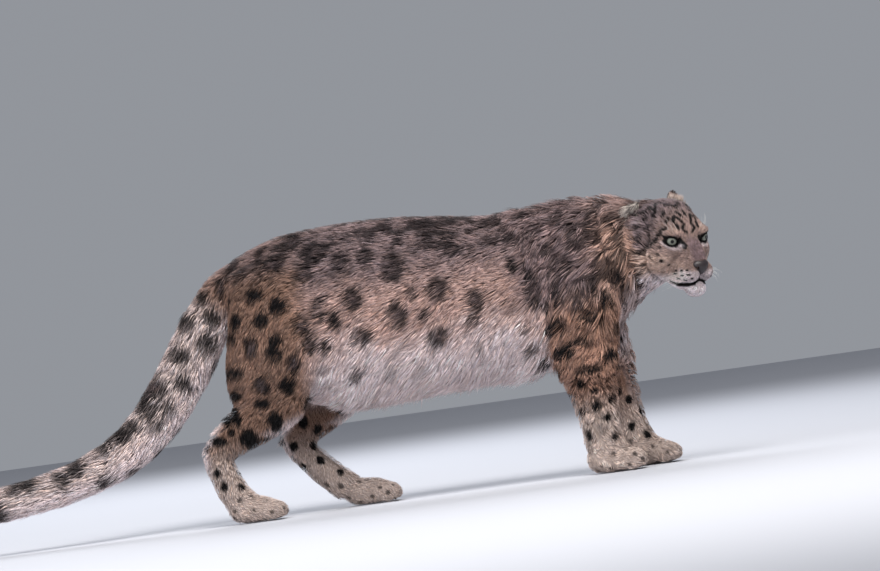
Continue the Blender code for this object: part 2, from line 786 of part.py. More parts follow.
class Coat:
    """Where the coat is long, which way it lies and how it stands off the flesh."""

    def __init__(self, flesh):
        self.tree = BVHTree.FromObject(flesh, bpy.context.evaluated_depsgraph_get())
        self.random = random.Random(SEED)
        self.line = smooth_rows(TAIL, 4)[:, :3] * MM

    def on_tail(self, point):
        gaps = np.linalg.norm(self.line - np.array(point), axis=1)
        nearest = int(gaps.argmin())
        if nearest < 10 or gaps[nearest] > 0.066:
            return None
        ahead = self.line[min(nearest + 1, len(self.line) - 1)] - self.line[nearest - 1]
        return Vector(ahead).normalized(), nearest / len(self.line)

    def length(self, point, normal):
        """The length of the locks at a place, in millimetres, or 0 where the coat is short."""
        x, y, z = (c / MM for c in point)
        if self.on_tail(point):
            return 88
        head = head_place().inverted() @ point / MM
        if head.x > -112 and x > 560:
            ruff = abs(head.y) > 44 and -100 < head.x < -34 and -95 < head.z < 12
            return 52 if ruff else 0
        inner = normal.y * (1 if y > 0 else -1) < -0.25
        if z < 205 or inner:
            return 0
        if x > 470:
            return 92 if z < 545 else 74
        if x > 330:
            return 92 if z > 300 else 76
        if x > -175:
            if z > 430:
                return 0
            return 98 + 22 * (430 - z) / 200
        if normal.x < 0.25 and x < -235 and z < 500:
            return 84
        if z < 300 and x > -235:
            return 86
        return 0

    def lie(self, point, normal):
        """The way the coat lies at a place."""
        x, y, z = (c / MM for c in point)
        tail = self.on_tail(point)
        if tail:
            way = tail[0]
        elif x > 560 and (head_place().inverted() @ point / MM).x > -112:
            turn = head_place().to_3x3()
            way = (turn @ Vector((-0.9, 0.25 * (1 if y < -0.05 else -1), -0.45))).normalized()
        elif x > 330:
            way = Vector((-0.75, 0, -0.65)) if normal.x < 0.5 else Vector((-0.2, 0, -1))
        elif x > -175:
            fall = max(0.0, min(1.0, (430 - z) / 160))
            way = Vector((-1 + 0.45 * fall, 0, -0.25 - 0.6 * fall))
        else:
            way = Vector((-0.45, 0, -0.9))
        way = way - normal * way.dot(normal)
        if way.length < 0.05:
            way = Vector((-1, 0, 0)) - normal * -normal.x
        turn = Matrix.Rotation(math.radians(self.random.uniform(-13, 13)), 3, normal)
        return (turn @ way).normalized()

    def lock(self, index, point, normal, length):
        """One flat lock: three sides, widest near its root, lying along the coat to a fine tip."""
        way = self.lie(point, normal)
        size = length * MM * self.random.uniform(0.85, 1.2)
        hang = 0.0 if self.on_tail(point) else 0.16 * max(0.0, 0.3 - normal.z)
        middles, normals = [], []
        for t, rise in zip(LOCK_STEPS, LOCK_RISE):
            reach = point + way * size * t
            surface, outward, _, _ = self.tree.find_nearest(reach)
            off = reach - surface
            if off.length > DRAPE:
                surface = reach - off.normalized() * DRAPE
            middle = surface + outward * rise * MM + Vector((0, 0, -hang * size * t * t))
            middles.append(middle)
            normals.append(outward)
        points, faces = [], []
        wide = length * MM * self.random.uniform(0.85, 1.15)
        for i, middle in enumerate(middles[:-1]):
            ahead = (middles[i + 1] - middle).normalized()
            across = normals[i].cross(ahead).normalized()
            up = ahead.cross(across).normalized()
            half, thick = LOCK_WIDTHS[i] * wide, LOCK_THICK[i] * MM
            points += [middle + across * half - up * thick * 0.3, middle + up * thick * 0.7,
                       middle - across * half - up * thick * 0.3]
        points.append(middles[-1])
        for i in range(len(middles) - 2):
            for j in range(3):
                k = (j + 1) % 3
                faces.append((3 * i + j, 3 * i + k, 3 * i + 3 + k, 3 * i + 3 + j))
        last = 3 * (len(middles) - 2)
        for j in range(3):
            faces.append((last + j, last + (j + 1) % 3, last + 3))
        faces.append((2, 1, 0))
        return object_from(f"lock {index}", points, faces)

    def places(self, flesh):
        """Points spread evenly over the long coat, each with its normal and lock length."""
        mesh = flesh.data
        mesh.calc_loop_triangles()
        corners = [[mesh.vertices[i].co.copy() for i in tri.vertices] for tri in mesh.loop_triangles]
        areas = [tri.area for tri in mesh.loop_triangles]
        found = []
        for tri in self.random.choices(range(len(corners)), weights=areas, k=16000):
            a, b, c = corners[tri]
            u, v = self.random.random(), self.random.random()
            if u + v > 1:
                u, v = 1 - u, 1 - v
            point = a + (b - a) * u + (c - a) * v
            normal = mesh.loop_triangles[tri].normal.copy()
            length = self.length(point, normal)
            if not length:
                continue
            apart = LOCK_SPACING * length * MM
            if all((point - other[0]).length > apart for other in found):
                found.append((point, normal, length))
        return found

    def grow(self, flesh):
        """Fuses the locks to the flesh."""
        locks = bpy.data.collections.new("locks")
        bpy.context.scene.collection.children.link(locks)
        found = self.places(flesh)
        for i, (point, normal, length) in enumerate(found):
            made = self.lock(i, point, normal, length)
            bpy.context.scene.collection.objects.unlink(made)
            locks.objects.link(made)
        boolean(flesh, locks, "UNION")
        bpy.data.collections.remove(locks)
        print("locks", len(found))
        return keep_largest(flesh)


def whole_animal():
    """Body, tail and head as one closed skin with its long coat."""
    body = fuse(join("body", [trunk(), neck(), tail(), *legs()]), BODY_VOXEL, BODY_SMOOTHING,
                BODY_TRIANGLES)
    whole = boolean(body, head(), "UNION")
    keep_largest(whole)
    Coat(whole).grow(whole)
    return boolean(whole, box((-BIG, -BIG, -BIG), (BIG, BIG, ANKLE + GAP)), "DIFFERENCE")


def body_nodes():
    whole = whole_animal()
    nodes = []
    rest = part_off(whole, "tail", tail_region(), tail_region(GAP))
    for (x, z), lean in TAIL_CUTS:
        x, z = x * MM, z * MM
        ahead, wider = half_space(x, z, lean), half_space(x, z, lean, GAP)
        nodes.append(part_off(rest, TAIL_NAMES[len(nodes)], ahead, wider))
    rest.name = TAIL_NAMES[-1]
    nodes.append(keep_largest(rest))
    nodes += paws()
    for name, place, side in shank_regions():
        spans = sorted((side * 0.002, side * 0.2))
        low, high = (-0.25, spans[0], -0.3), (0.14, spans[1], 0)
        nodes.append(part_off(whole, name, box(low, high, place),
                              box(low, (*high[:2], GAP), place)))
    for name, low_x, high_x, spring, top, side in leg_regions():
        shape = (low_x, high_x, spring, top, side)
        nodes.append(part_off(whole, name, arch(*shape), arch(*shape, grow=GAP)))
    place = head_place()
    low, high = (-0.104, -0.16, -0.19), (0.15, 0.16, 0.13)
    wider = (low[0] - GAP, *low[1:])
    nodes.append(part_off(whole, "head", box(low, high, place), box(wider, high, place)))
    nodes.append(part_off(whole, "neck", half_space(0.44, 0.58, -16),
                          half_space(0.44, 0.58, -16, GAP)))
    whole.name = "torso"
    nodes.append(keep_largest(whole))
    return nodes


def head_nodes(nodes):
    """Eyes, nose leather and ears, each fitted into the head and neck."""
    made = eyes()
    flesh = [n for n in nodes if n.name in ("head", "neck", "torso")]
    head_node = next(n for n in flesh if n.name == "head")
    made.append(keep_largest(nose()))
    leather = nose(nostrils=False)
    boolean(head_node, grown(leather), "DIFFERENCE")
    bpy.data.objects.remove(leather, do_unlink=True)
    for name, shape in EARS.items():
        cup = ear(name, shape["root"], shape["tip"], shape["open"])
        for node in flesh:
            boolean(node, grown(cup), "DIFFERENCE")
        made.append(cup)
    for node in flesh:
        keep_largest(node)
    return made


def centre_on_floor(nodes):
    """Moves everything so that the origin is the middle of the box round it, on the floor."""
    points = np.array([v.co for node in nodes for v in node.data.vertices])
    middle = (points.min(axis=0) + points.max(axis=0)) / 2
    for node in nodes:
        node.data.transform(Matrix.Translation((-middle[0], -middle[1], 0)))


def finish(nodes):
    centre_on_floor(nodes)
    for node in nodes:
        colour = "coat"
        if node.name.startswith("eye"):
            colour = "eye"
        elif node.name == "nose":
            colour = "nose"
        node.data.materials.clear()
        node.data.materials.append(material(colour))
        node.data.shade_smooth()
        node.data.set_sharp_from_angle(angle=math.radians(40))


def main():
    clear_scene()
    nodes = body_nodes()
    nodes += head_nodes(nodes)
    finish(nodes)
    print({n.name: sum(len(p.vertices) - 2 for p in n.data.polygons) for n in nodes})
    print("triangles", sum(len(p.vertices) - 2 for n in nodes for p in n.data.polygons))


main()
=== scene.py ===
"""The looks of a life-size walking snow leopard: one skin, a coat of mesh tufts, eyes, ears,
nose leather and whiskers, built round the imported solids.

Lengths in the tables are millimetres, in the animal's own frame: x to its front, z up from the floor.
"""

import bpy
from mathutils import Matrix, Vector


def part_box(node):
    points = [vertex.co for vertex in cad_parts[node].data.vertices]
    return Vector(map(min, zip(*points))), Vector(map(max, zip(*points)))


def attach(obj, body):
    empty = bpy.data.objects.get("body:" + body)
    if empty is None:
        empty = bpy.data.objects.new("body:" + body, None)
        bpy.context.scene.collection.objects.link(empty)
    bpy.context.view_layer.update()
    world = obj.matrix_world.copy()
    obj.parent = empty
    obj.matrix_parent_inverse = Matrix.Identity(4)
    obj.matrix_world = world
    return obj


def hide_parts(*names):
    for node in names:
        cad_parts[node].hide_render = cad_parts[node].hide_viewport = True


bl_info = {
    "name": "Walking snow leopard",
    "version": (1, 0, 0),
    "blender": (4, 5, 0),
    "location": "3D View > Sidebar > Snow leopard",
    "description": "Dresses the solids of a walking snow leopard with skin, coat, eyes and whiskers",
    "category": "Add Mesh",
}

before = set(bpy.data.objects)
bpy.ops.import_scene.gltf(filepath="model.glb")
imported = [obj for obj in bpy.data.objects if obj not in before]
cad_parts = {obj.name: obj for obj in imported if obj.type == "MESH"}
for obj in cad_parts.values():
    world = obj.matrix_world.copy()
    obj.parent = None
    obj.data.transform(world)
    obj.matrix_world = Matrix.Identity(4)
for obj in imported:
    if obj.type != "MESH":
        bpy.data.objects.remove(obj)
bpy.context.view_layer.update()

import functools
import math

import bmesh
import bpy
import numpy as np
from bpy.props import FloatProperty, FloatVectorProperty, PointerProperty
from mathutils import Matrix, Vector
from mathutils.bvhtree import BVHTree
from mathutils.kdtree import KDTree

MM = 0.001
SEED = 23

FLESH_NODES = [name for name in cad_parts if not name.startswith(("eye", "ear", "nose"))]

# The outline of the coat from rump to chest: x, height of back, height of belly, half width.
TRUNK = [
    (-300, 512, 400, 34),
    (-282, 541, 345, 72),
    (-240, 562, 290, 102),
    (-170, 581, 240, 121),
    (-90, 588, 214, 128),
    (0, 590, 214, 131),
    (90, 585, 220, 133),
    (180, 574, 224, 134),
    (260, 563, 226, 131),
    (340, 566, 228, 124),
    (410, 571, 244, 114),
    (470, 571, 290, 100),
    (500, 560, 335, 78),
    (515, 530, 390, 40),
]

# The neck: x, y, height of nape, height of throat, half width.
NECK = [
    (380, 0, 572, 262, 104),
    (440, 0, 573, 278, 102),
    (500, -2, 569, 306, 98),
    (545, -8, 562, 342, 94),
    (590, -18, 552, 366, 88),
    (628, -34, 536, 385, 76),
    (650, -48, 512, 410, 50),
]

# Limb rows: x, z, reach to the front, reach to the back, half width, distance from the midline.
THIGH = [
    (-222, 528, 56, 54, 34, 52),
    (-222, 480, 98, 72, 56, 64),
    (-222, 405, 118, 84, 66, 72),
    (-222, 335, 112, 98, 63, 76),
    (-218, 275, 84, 104, 54, 78),
    (-212, 228, 48, 84, 42, 78),
]
SHANK = [
    (-176, 270, 36, 36, 36, 78),
    (-212, 246, 56, 60, 45, 78),
    (-262, 216, 52, 58, 43, 78),
    (-312, 188, 42, 46, 38, 77),
    (-350, 168, 35, 37, 33, 76),
    (-374, 156, 22, 22, 24, 75),
]
HIND_FOOT = [
    (-376, 174, 14, 18, 22, 75),
    (-368, 146, 30, 28, 30, 75),
    (-356, 108, 33, 30, 32, 74),
    (-342, 70, 35, 31, 34, 73),
    (-326, 38, 38, 32, 38, 72),
]
FORE_LEG = [
    (418, 545, 52, 52, 26, 44),
    (416, 480, 88, 80, 50, 58),
    (418, 400, 96, 88, 60, 68),
    (422, 330, 86, 84, 58, 72),
    (426, 278, 74, 74, 50, 72),
    (430, 225, 66, 66, 46, 71),
    (434, 165, 51, 51, 42, 70),
    (437, 110, 43, 42, 40, 69),
    (440, 70, 42, 41, 40, 69),
    (446, 38, 44, 40, 42, 69),
]
HIND_PAW = {"length": 126, "width": 96, "height": 56, "back_x": -356, "side": 72}
FORE_PAW = {"length": 130, "width": 108, "height": 60, "back_x": 398, "side": 69}
TOE_COUNT = 4
SOLE = 1.5
HIND_STEP, HIND_PIVOT = 240, 470
FORE_STEP, FORE_PIVOT = 78, 420

# The tail's middle line and its half depth and half width: x, y, z, depth, width.
TAIL = [
    (-236, 0, 505, 34, 40),
    (-276, 0, 492, 50, 52),
    (-318, 0, 459, 52, 52),
    (-360, 0, 408, 53, 52),
    (-402, 0, 343, 54, 52),
    (-448, 0, 280, 53, 52),
    (-496, 0, 226, 50, 50),
    (-556, 0, 180, 46, 47),
    (-626, 2, 148, 42, 44),
    (-700, 6, 127, 39, 41),
    (-784, 12, 112, 37, 39),
    (-860, 20, 106, 36, 37),
    (-930, 30, 111, 35, 36),
    (-985, 40, 124, 32, 33),
    (-1022, 47, 138, 24, 25),
    (-1040, 51, 146, 9, 9),
]

# The head stands on the point midway between the eyes and is turned towards the right side.
EYES_AT = (671, -92, 461)
HEAD_YAW = math.radians(-56)
HEAD_PITCH = math.radians(18)
EYE_SIDE, EYE_RADIUS, LID, EYE_BACK = 38, 14.5, 3.2, 8
EYE_OUT = math.radians(24)
EYE_SLANT = math.radians(15)
EYE_OPENING = (13.6, 8.4)

# Head forms: middle (forward, side, up), half sizes, pitch in degrees, and how softly each melts
# into the rest. A form with a side is made on both sides.
HEAD_FORMS = {
    "cranium": ((-76, 0, 6), (64, 64, 57), 0, 16),
    "forehead": ((-35, 0, 6), (40, 60, 43), 12, 16),
    "brow": ((-9, 35, 15), (18, 21, 10), 10, 10),
    "cheekbone": ((-11, 35, -24), (27, 21, 19), 0, 14),
    "cheek": ((-44, 42, -40), (44, 36, 42), 0, 22),
    "throat": ((-44, 0, -60), (54, 48, 44), 0, 16),
    "bridge": ((16, 0, -16), (45, 24, 17), 38, 12),
    "muzzle": ((12, 0, -52), (40, 36, 28), 6, 12),
    "whisker pad": ((33, 18, -62), (25, 20, 21), 4, 7),
    "jaw": ((2, 0, -86), (46, 36, 22), -4, 10),
    "chin": ((35, 0, -98), (20, 23, 17), 0, 8),
    "ear root": ((-92, 44, 30), (24, 18, 19), 0, 16),
}
NOSE_BOTTOM, NOSE_TOP = (52, 0, -62), (47, 0, -35)
NOSE_ROWS = [(0.0, 3, 5), (0.18, 7, 8), (0.4, 13, 11), (0.62, 18, 12), (0.84, 18, 11), (1.0, 13, 8)]
NOSTRIL = {"side": 10, "rise": 0.5, "radius": 3.2, "length": 15}
MOUTH_LINE = [(0, -77), (16, -81), (34, -85), (54, -88), (76, -89.5), (98, -89.5), (108, -89)]
MOUTH_MIDDLE, LIP_GROOVE, LIP_DROP = 4, 1.5, 3.5

EAR_SIZE = {"width": 27, "height": 48, "depth": 15, "wall": 4.5}
EAR_PALE = {"coat_ear_R": 0.95, "coat_ear_L": 0.4}
EARS = {
    "ear_R": {"root": (-94, 60, 35), "tip": (-0.47, 0.83, -0.26), "opening": (0.75, 0.45, 0.3)},
    "ear_L": {"root": (-106, -48, 26), "tip": (-0.5, -0.12, 0.85), "opening": (0.9, -0.35, 0.3)},
}

BODY_VOXEL, BODY_SMOOTHING = 4.5, 30
HEAD_VOXEL, HEAD_SMOOTHING = 2.2, 8

# The photograph's picture elements: their size, the ground's slope in it, and the one that shows
# the animal's origin on the floor.
PIXEL, SLOPE, ORIGIN_PIXEL = 2.1, math.radians(8), (400, 501)
PHOTO_SIZE, CAMERA_DISTANCE = (880, 571), 13.0

# Markings of the right side as the photograph shows them: middle and half sizes in its elements.
FLANK_ROSETTES = [
    (353, 300, 10, 11), (393, 270, 10, 15), (397, 316, 10, 14), (438, 290, 11, 12),
    (438, 335, 10, 10), (475, 300, 7, 12), (473, 321, 5, 7), (340, 265, 9, 9), (275, 268, 10, 8),
    (293, 248, 9, 7), (318, 255, 10, 7), (412, 295, 5, 6), (424, 315, 5, 6), (363, 335, 9, 8),
]
FAINT_MARKS = [
    (403, 345, 7, 4), (391, 367, 6, 8), (421, 366, 8, 6), (478, 345, 5, 8), (322, 367, 8, 6),
    (308, 395, 6, 8), (508, 306, 6, 6), (372, 395, 4, 3),
]
LEG_SPOTS = [
    (263, 322, 8, 8), (278, 308, 8, 9), (254, 348, 7, 10), (277, 340, 6, 6), (275, 353, 8, 8),
    (302, 325, 9, 11), (293, 362, 6, 10), (310, 343, 8, 10), (320, 310, 6, 13), (336, 321, 7, 9),
    (327, 345, 5, 8), (237, 373, 9, 6), (264, 385, 8, 10), (264, 403, 8, 6), (287, 385, 8, 9),
    (240, 395, 5, 5), (223, 415, 5, 6), (239, 417, 5, 9), (276, 420, 7, 9), (250, 437, 9, 9),
    (222, 441, 8, 5), (240, 322, 5, 8), (235, 339, 6, 5), (222, 290, 3, 10), (303, 423, 5, 6),
    (256, 297, 8, 7), (553, 325, 12, 7), (588, 318, 10, 6), (580, 340, 8, 5), (566, 350, 8, 8),
    (604, 353, 7, 7), (612, 339, 7, 5), (587, 369, 9, 4), (543, 357, 5, 6), (557, 297, 7, 10),
    (575, 307, 4, 11), (590, 290, 4, 8), (600, 300, 5, 8), (617, 297, 3, 9), (612, 275, 8, 8),
    (636, 271, 3, 5), (640, 280, 7, 4), (529, 290, 6, 20), (511, 268, 5, 8), (542, 304, 4, 5),
]
TAIL_BLOTCHES = [
    (212, 318, 7, 9), (206, 343, 8, 8), (190, 325, 8, 9), (183, 357, 9, 8), (184, 382, 8, 8),
    (158, 390, 13, 10), (150, 410, 9, 8), (168, 408, 6, 6), (157, 424, 7, 5), (122, 437, 13, 9),
    (106, 453, 7, 6), (78, 470, 10, 8), (57, 475, 7, 7), (30, 487, 8, 8), (14, 492, 6, 8),
    (222, 290, 4, 9), (205, 300, 5, 7), (138, 428, 6, 5),
]
# Streaks and dots of the head: from, to, and half width.
HEAD_STREAKS = [
    (655, 240, 652, 243, 1.9), (648, 245, 645, 247, 2.2), (641, 251, 638, 253, 1.9),
    (633, 251, 629, 253, 1.6), (625, 256, 621, 259, 1.6), (656, 236, 663, 229, 1.6),
    (677, 240, 683, 247, 2.0), (658, 248, 658, 248, 1.2), (656, 255, 656, 255, 1.2),
    (649, 257, 649, 257, 1.4), (659, 261, 660, 261, 1.3), (667, 265, 667, 265, 1.1),
    (641, 264, 641, 264, 1.5), (632, 261, 631, 262, 1.4), (634, 271, 637, 273, 1.8),
    (653, 212, 647, 213, 1.2), (655, 208, 654, 217, 1.3), (663, 214, 661, 218, 1.3),
    (667, 219, 664, 223, 1.3), (672, 217, 671, 222, 1.4), (676, 206, 674, 209, 1.3),
    (681, 212, 680, 217, 1.2), (682, 225, 680, 229, 1.2), (688, 216, 689, 221, 1.2),
    (692, 229, 690, 232, 1.1), (694, 222, 696, 227, 1.2), (641, 207, 636, 208, 1.3),
    (646, 219, 643, 222, 1.3), (638, 216, 634, 218, 1.3), (648, 228, 644, 231, 1.4),
    (636, 228, 632, 231, 1.4), (640, 238, 634, 240, 1.4), (628, 240, 622, 243, 1.4),
    (674, 270.5, 675, 270.5, 0.8), (679, 271, 680, 271, 0.8), (684, 270.5, 685, 270.5, 0.8),
    (673, 274, 675, 274, 0.8), (679, 275.5, 681, 275.5, 0.8), (685, 275, 687, 275, 0.8),
    (676, 278.5, 678, 279, 0.8), (682, 280, 684, 280, 0.8), (689, 278.5, 690, 278.5, 0.8),
    (648, 235.5, 647, 236.5, 1.5), (637, 242.5, 635, 244.5, 1.4), (646, 287.5, 653, 286, 1.2),
]

# Where no named marking lies, markings are strewn: name, room to the next, half size, strength.
STREWN = {
    "flank": (58, 17, 0.9, "ring"),
    "back": (44, 17, 0.95, "ring"),
    "thigh": (44, 13, 1.0, "spot"),
    "shoulder": (42, 12, 0.85, "spot"),
    "neck": (34, 9, 0.7, "spot"),
    "leg": (31, 9, 1.0, "spot"),
    "paw": (19, 4.5, 0.8, "spot"),
    "belly": (60, 9, 0.3, "spot"),
    "tail": (52, 17, 0.95, "spot"),
    "crown": (19, 4.2, 0.9, "spot"),
}

# How much larger than listed the marks and the streaks are drawn.
MARK_GROWTH, STREAK_GROWTH = 1.08, 1.3664
# How many of the skin's points are tried as the places of strewn marks.
STREWN_TRIES = 9000

# Tufts to the square metre. FACE_MORE comes on top of the head's near the nose, and LEFT_FEWER is
# taken off low on the left side.
COAT_DENSITY, LEFT_FEWER, LEG_DENSITY, PAW_DENSITY = 104000.0, 30000, 70000, 98000
TAIL_DENSITY, HEAD_DENSITY, FACE_MORE, EAR_DENSITY = 92000, 170000, 420000, 420000
# How far a root sinks into the skin, as a share of the tuft's height.
ROOT_SINK = 0.12
# The places along a tuft that have points, from its root to its tip.
LONG_STEPS, SHORT_STEPS = np.array((0.0, 0.34, 0.7, 1.0)), np.array((0.0, 0.5, 1.0))
# The side of each tuft's patch on the bake map, and how much darker than its coat the skin is painted, as
# painted shade under the tufts.
PATCH, SKIN_PAINTED_SHADE = 0.003, 0.55

# Colours as seen, red, green and blue from 0 to 255.
HUES = {
    "back": (146, 125, 124),
    "flank": (192, 160, 150),
    "thigh": (144, 113, 97),
    "elbow": (160, 124, 107),
    "belly": (242, 223, 222),
    "shoulder": (134, 113, 112),
    "neck": (182, 147, 131),
    "tail": (222, 202, 196),
    "paw": (210, 190, 180),
    "crown": (116, 100, 102),
    "face": (150, 127, 120),
    "cheek": (192, 165, 152),
    "under eye": (104, 88, 87),
    "bridge": (130, 109, 111),
    "white": (236, 222, 226),
    "dark": (12, 8, 9),
    "dark back": (22, 17, 19),
    "core": (98, 83, 83),
    "rim": (12, 9, 10),
    "lip": (18, 13, 14),
}


def straight(colour):
    """A colour as seen, made linear."""
    share = np.array(colour, float) / 255
    return np.where(share <= 0.04045, share / 12.92, ((share + 0.055) / 1.055) ** 2.4)


def ramp(values, low, high):
    """0 below low, 1 above high, and smooth between."""
    share = np.clip((values - low) / (high - low), 0, 1)
    return share * share * (3 - 2 * share)


def mix(first, second, share):
    share = np.asarray(share)[..., None]
    return first * (1 - share) + second * share


def unit(vectors):
    return vectors / np.maximum(np.linalg.norm(vectors, axis=-1, keepdims=True), 1e-9)


def dot(first, second):
    return (first * second).sum(axis=-1)


def noise(points, size, seed=0):
    """Smooth noise from -1 to 1 over points, with lumps of about that size."""
    place = points / size + 31.7 * seed + 500.0
    cell = np.floor(place).astype(np.int64)
    share = place - cell
    share = share * share * (3 - 2 * share)
    total = np.zeros(len(points))
    for corner in np.ndindex(2, 2, 2):
        at = cell + corner
        key = at[:, 0] * 73856093 ^ at[:, 1] * 19349663 ^ at[:, 2] * 83492791 ^ (seed * 7919)
        key = (key ^ (key >> 13)) * 1274126177 & 0xFFFFFFFF
        key = (key ^ (key >> 16)) * 668265263 & 0xFFFFFFFF
        weight = np.where(corner, share, 1 - share).prod(axis=1)
        total += weight * ((key ^ (key >> 15)) & 0xFFFFFF) / 0xFFFFFF
    return total * 2 - 1


# Mesh making


def add_object(name, mesh):
    made = bpy.data.objects.new(name, mesh)
    bpy.context.scene.collection.objects.link(made)
    return made


def object_from(name, points, faces):
    mesh = bpy.data.meshes.new(name)
    mesh.from_pydata([tuple(p) for p in points], [], faces)
    mesh.validate()
    made = bmesh.new()
    made.from_mesh(mesh)
    bmesh.ops.triangulate(made, faces=made.faces)
    bmesh.ops.recalc_face_normals(made, faces=made.faces)
    made.to_mesh(mesh)
    made.free()
    return add_object(name, mesh)


def apply_modifiers(made):
    bpy.context.view_layer.update()
    graph = bpy.context.evaluated_depsgraph_get()
    mesh = bpy.data.meshes.new_from_object(made.evaluated_get(graph))
    old = made.data
    made.modifiers.clear()
    made.data = mesh
    bpy.data.meshes.remove(old)
    return made


def join(name, pieces):
    whole = bmesh.new()
    for piece in pieces:
        whole.from_mesh(piece.data)
        bpy.data.objects.remove(piece, do_unlink=True)
    mesh = bpy.data.meshes.new(name)
    whole.to_mesh(mesh)
    whole.free()
    return add_object(name, mesh)


def boolean(made, other, operation):
    """Joins or cuts with another closed object, which is then removed."""
    modifier = made.modifiers.new("boolean", "BOOLEAN")
    modifier.operation = operation
    modifier.solver = "MANIFOLD"
    modifier.object = other
    apply_modifiers(made)
    bpy.data.objects.remove(other, do_unlink=True)
    return made


def sort_faces(made):
    """Puts the faces in one fixed order, because a boolean gives them in another at each run."""
    mesh = made.data
    faces = []
    for face in mesh.polygons:
        corners = list(face.vertices)
        first = corners.index(min(corners))
        faces.append(corners[first:] + corners[:first])
    made.data = bpy.data.meshes.new(mesh.name)
    made.data.from_pydata([tuple(v.co) for v in mesh.vertices], [], sorted(faces))
    bpy.data.meshes.remove(mesh)


def remesh(made, voxel, smoothing):
    """Melts overlapping forms into one smooth skin."""
    modifier = made.modifiers.new("remesh", "REMESH")
    modifier.mode = "VOXEL"
    modifier.voxel_size = voxel * MM
    modifier = made.modifiers.new("smooth", "SMOOTH")
    modifier.factor = 0.5
    modifier.iterations = smoothing
    return apply_modifiers(made)


def read_points(mesh):
    found = np.empty(len(mesh.vertices) * 3)
    mesh.vertices.foreach_get("co", found)
    return found.reshape(-1, 3) / MM


def write_points(mesh, points):
    mesh.vertices.foreach_set("co", (points * MM).ravel())
    mesh.update()


def read_normals(mesh):
    found = np.empty(len(mesh.vertices) * 3)
    mesh.vertices.foreach_get("normal", found)
    return found.reshape(-1, 3)


def smooth_rows(rows, steps):
    """Rows between the given ones, on a Catmull-Rom curve through them."""
    rows = np.array(rows, float)
    padded = np.vstack([2 * rows[0] - rows[1], rows, 2 * rows[-1] - rows[-2]])
    made = []
    for i in range(len(rows) - 1):
        a, b, c, d = padded[i : i + 4]
        for t in np.arange(steps) / steps:
            made.append(0.5 * (2 * b + (c - a) * t + (2 * a - 5 * b + 4 * c - d) * t**2
                               + (3 * b - a - 3 * c + d) * t**3))
    made.append(rows[-1])
    return np.array(made)


def tube(name, rings):
    """A closed skin over rings of equal size, with a fan over each end."""
    sides = len(rings[0])
    points = [p for ring in rings for p in ring]
    points += [np.mean(rings[0], axis=0), np.mean(rings[-1], axis=0)]
    faces = []
    for i in range(len(rings) - 1):
        for j in range(sides):
            k = (j + 1) % sides
            faces.append((i * sides + j, i * sides + k, (i + 1) * sides + k, (i + 1) * sides + j))
    first, last, top = len(points) - 2, len(points) - 1, (len(rings) - 1) * sides
    for j in range(sides):
        k = (j + 1) % sides
        faces += [(first, k, j), (last, top + j, top + k)]
    return object_from(name, np.array(points) * MM, faces)


def oval(middle, across, up, width, above, below, sides, taper=0.0):
    """A ring of points with its own reach above and below its middle, narrowed above."""
    angle = 2 * math.pi * np.arange(sides)[:, None] / sides
    rise = np.sin(angle)
    return (np.array(middle) + np.array(across) * width * np.cos(angle)
            * (1 - taper * np.maximum(rise, 0))
            + np.array(up) * np.where(rise > 0, above, below) * rise)


def ball(name, middle, size, rings=14, segments=20, pitch=0.0):
    """An ellipsoid of those half sizes, tipped nose down by pitch degrees."""
    mesh = bpy.data.meshes.new(name)
    made = bmesh.new()
    bmesh.ops.create_uvsphere(made, u_segments=segments, v_segments=rings, radius=1)
    shape = (Matrix.Translation(Vector(middle) * MM) @ Matrix.Rotation(math.radians(pitch), 4, "Y")
             @ Matrix.Diagonal((*(Vector(size) * MM), 1)))
    bmesh.ops.transform(made, matrix=shape, verts=made.verts)
    made.to_mesh(mesh)
    made.free()
    return add_object(name, mesh)


def cord(name, points, radius, sides=8, steps=2, taper=1.0):
    """A round bar along a smooth line, thinned towards its end by taper."""
    rows = smooth_rows(points, steps)
    rings = []
    for i, middle in enumerate(rows):
        ahead = Vector(rows[min(i + 1, len(rows) - 1)] - rows[max(i - 1, 0)]).normalized()
        across = ahead.cross(Vector((0, 0, 1))).normalized()
        wide = radius * (1 + (taper - 1) * i / (len(rows) - 1))
        rings.append(oval(middle, across, across.cross(ahead), wide, wide, wide, sides))
    return tube(name, rings)


# The body's forms


def trunk(sides=40, steps=4):
    rings = []
    for x, back, belly, width in smooth_rows(TRUNK, steps):
        middle = (back + belly) / 2 - 0.04 * (back - belly)
        rings.append(oval((x, 0, middle), (0, 1, 0), (0, 0, 1), width, back - middle,
                          middle - belly, sides))
    return tube("trunk", rings)


def neck(sides=40, steps=4):
    rings = []
    rows = smooth_rows(NECK, steps)
    for i, (x, y, nape, throat, width) in enumerate(rows):
        ahead = rows[min(i + 1, len(rows) - 1)][:2] - rows[max(i - 1, 0)][:2]
        ahead /= np.linalg.norm(ahead)
        middle = (nape + throat) / 2
        rings.append(oval((x, y, middle), (-ahead[1], ahead[0], 0), (0, 0, 1), width,
                          nape - middle, middle - throat, sides, taper=0.28))
    return tube("neck", rings)


def limb(name, rows, side, step, pivot, sides=28, steps=4):
    """A limb length. side is -1 for the right and 1 for the left. step swings the foot forward."""
    rows = smooth_rows(rows, steps)
    rows[:, 0] += step * np.clip(1 - rows[:, 1] / pivot, 0, None)
    rings = []
    for i, (x, z, front, back, width, apart) in enumerate(rows):
        ahead = rows[min(i + 1, len(rows) - 1)][:2] - rows[max(i - 1, 0)][:2]
        ahead /= np.linalg.norm(ahead)
        rings.append(oval((x, side * apart, z), (0, 1, 0), (-ahead[1], 0, ahead[0]), width,
                          front, back, sides))
    return tube(name, rings)


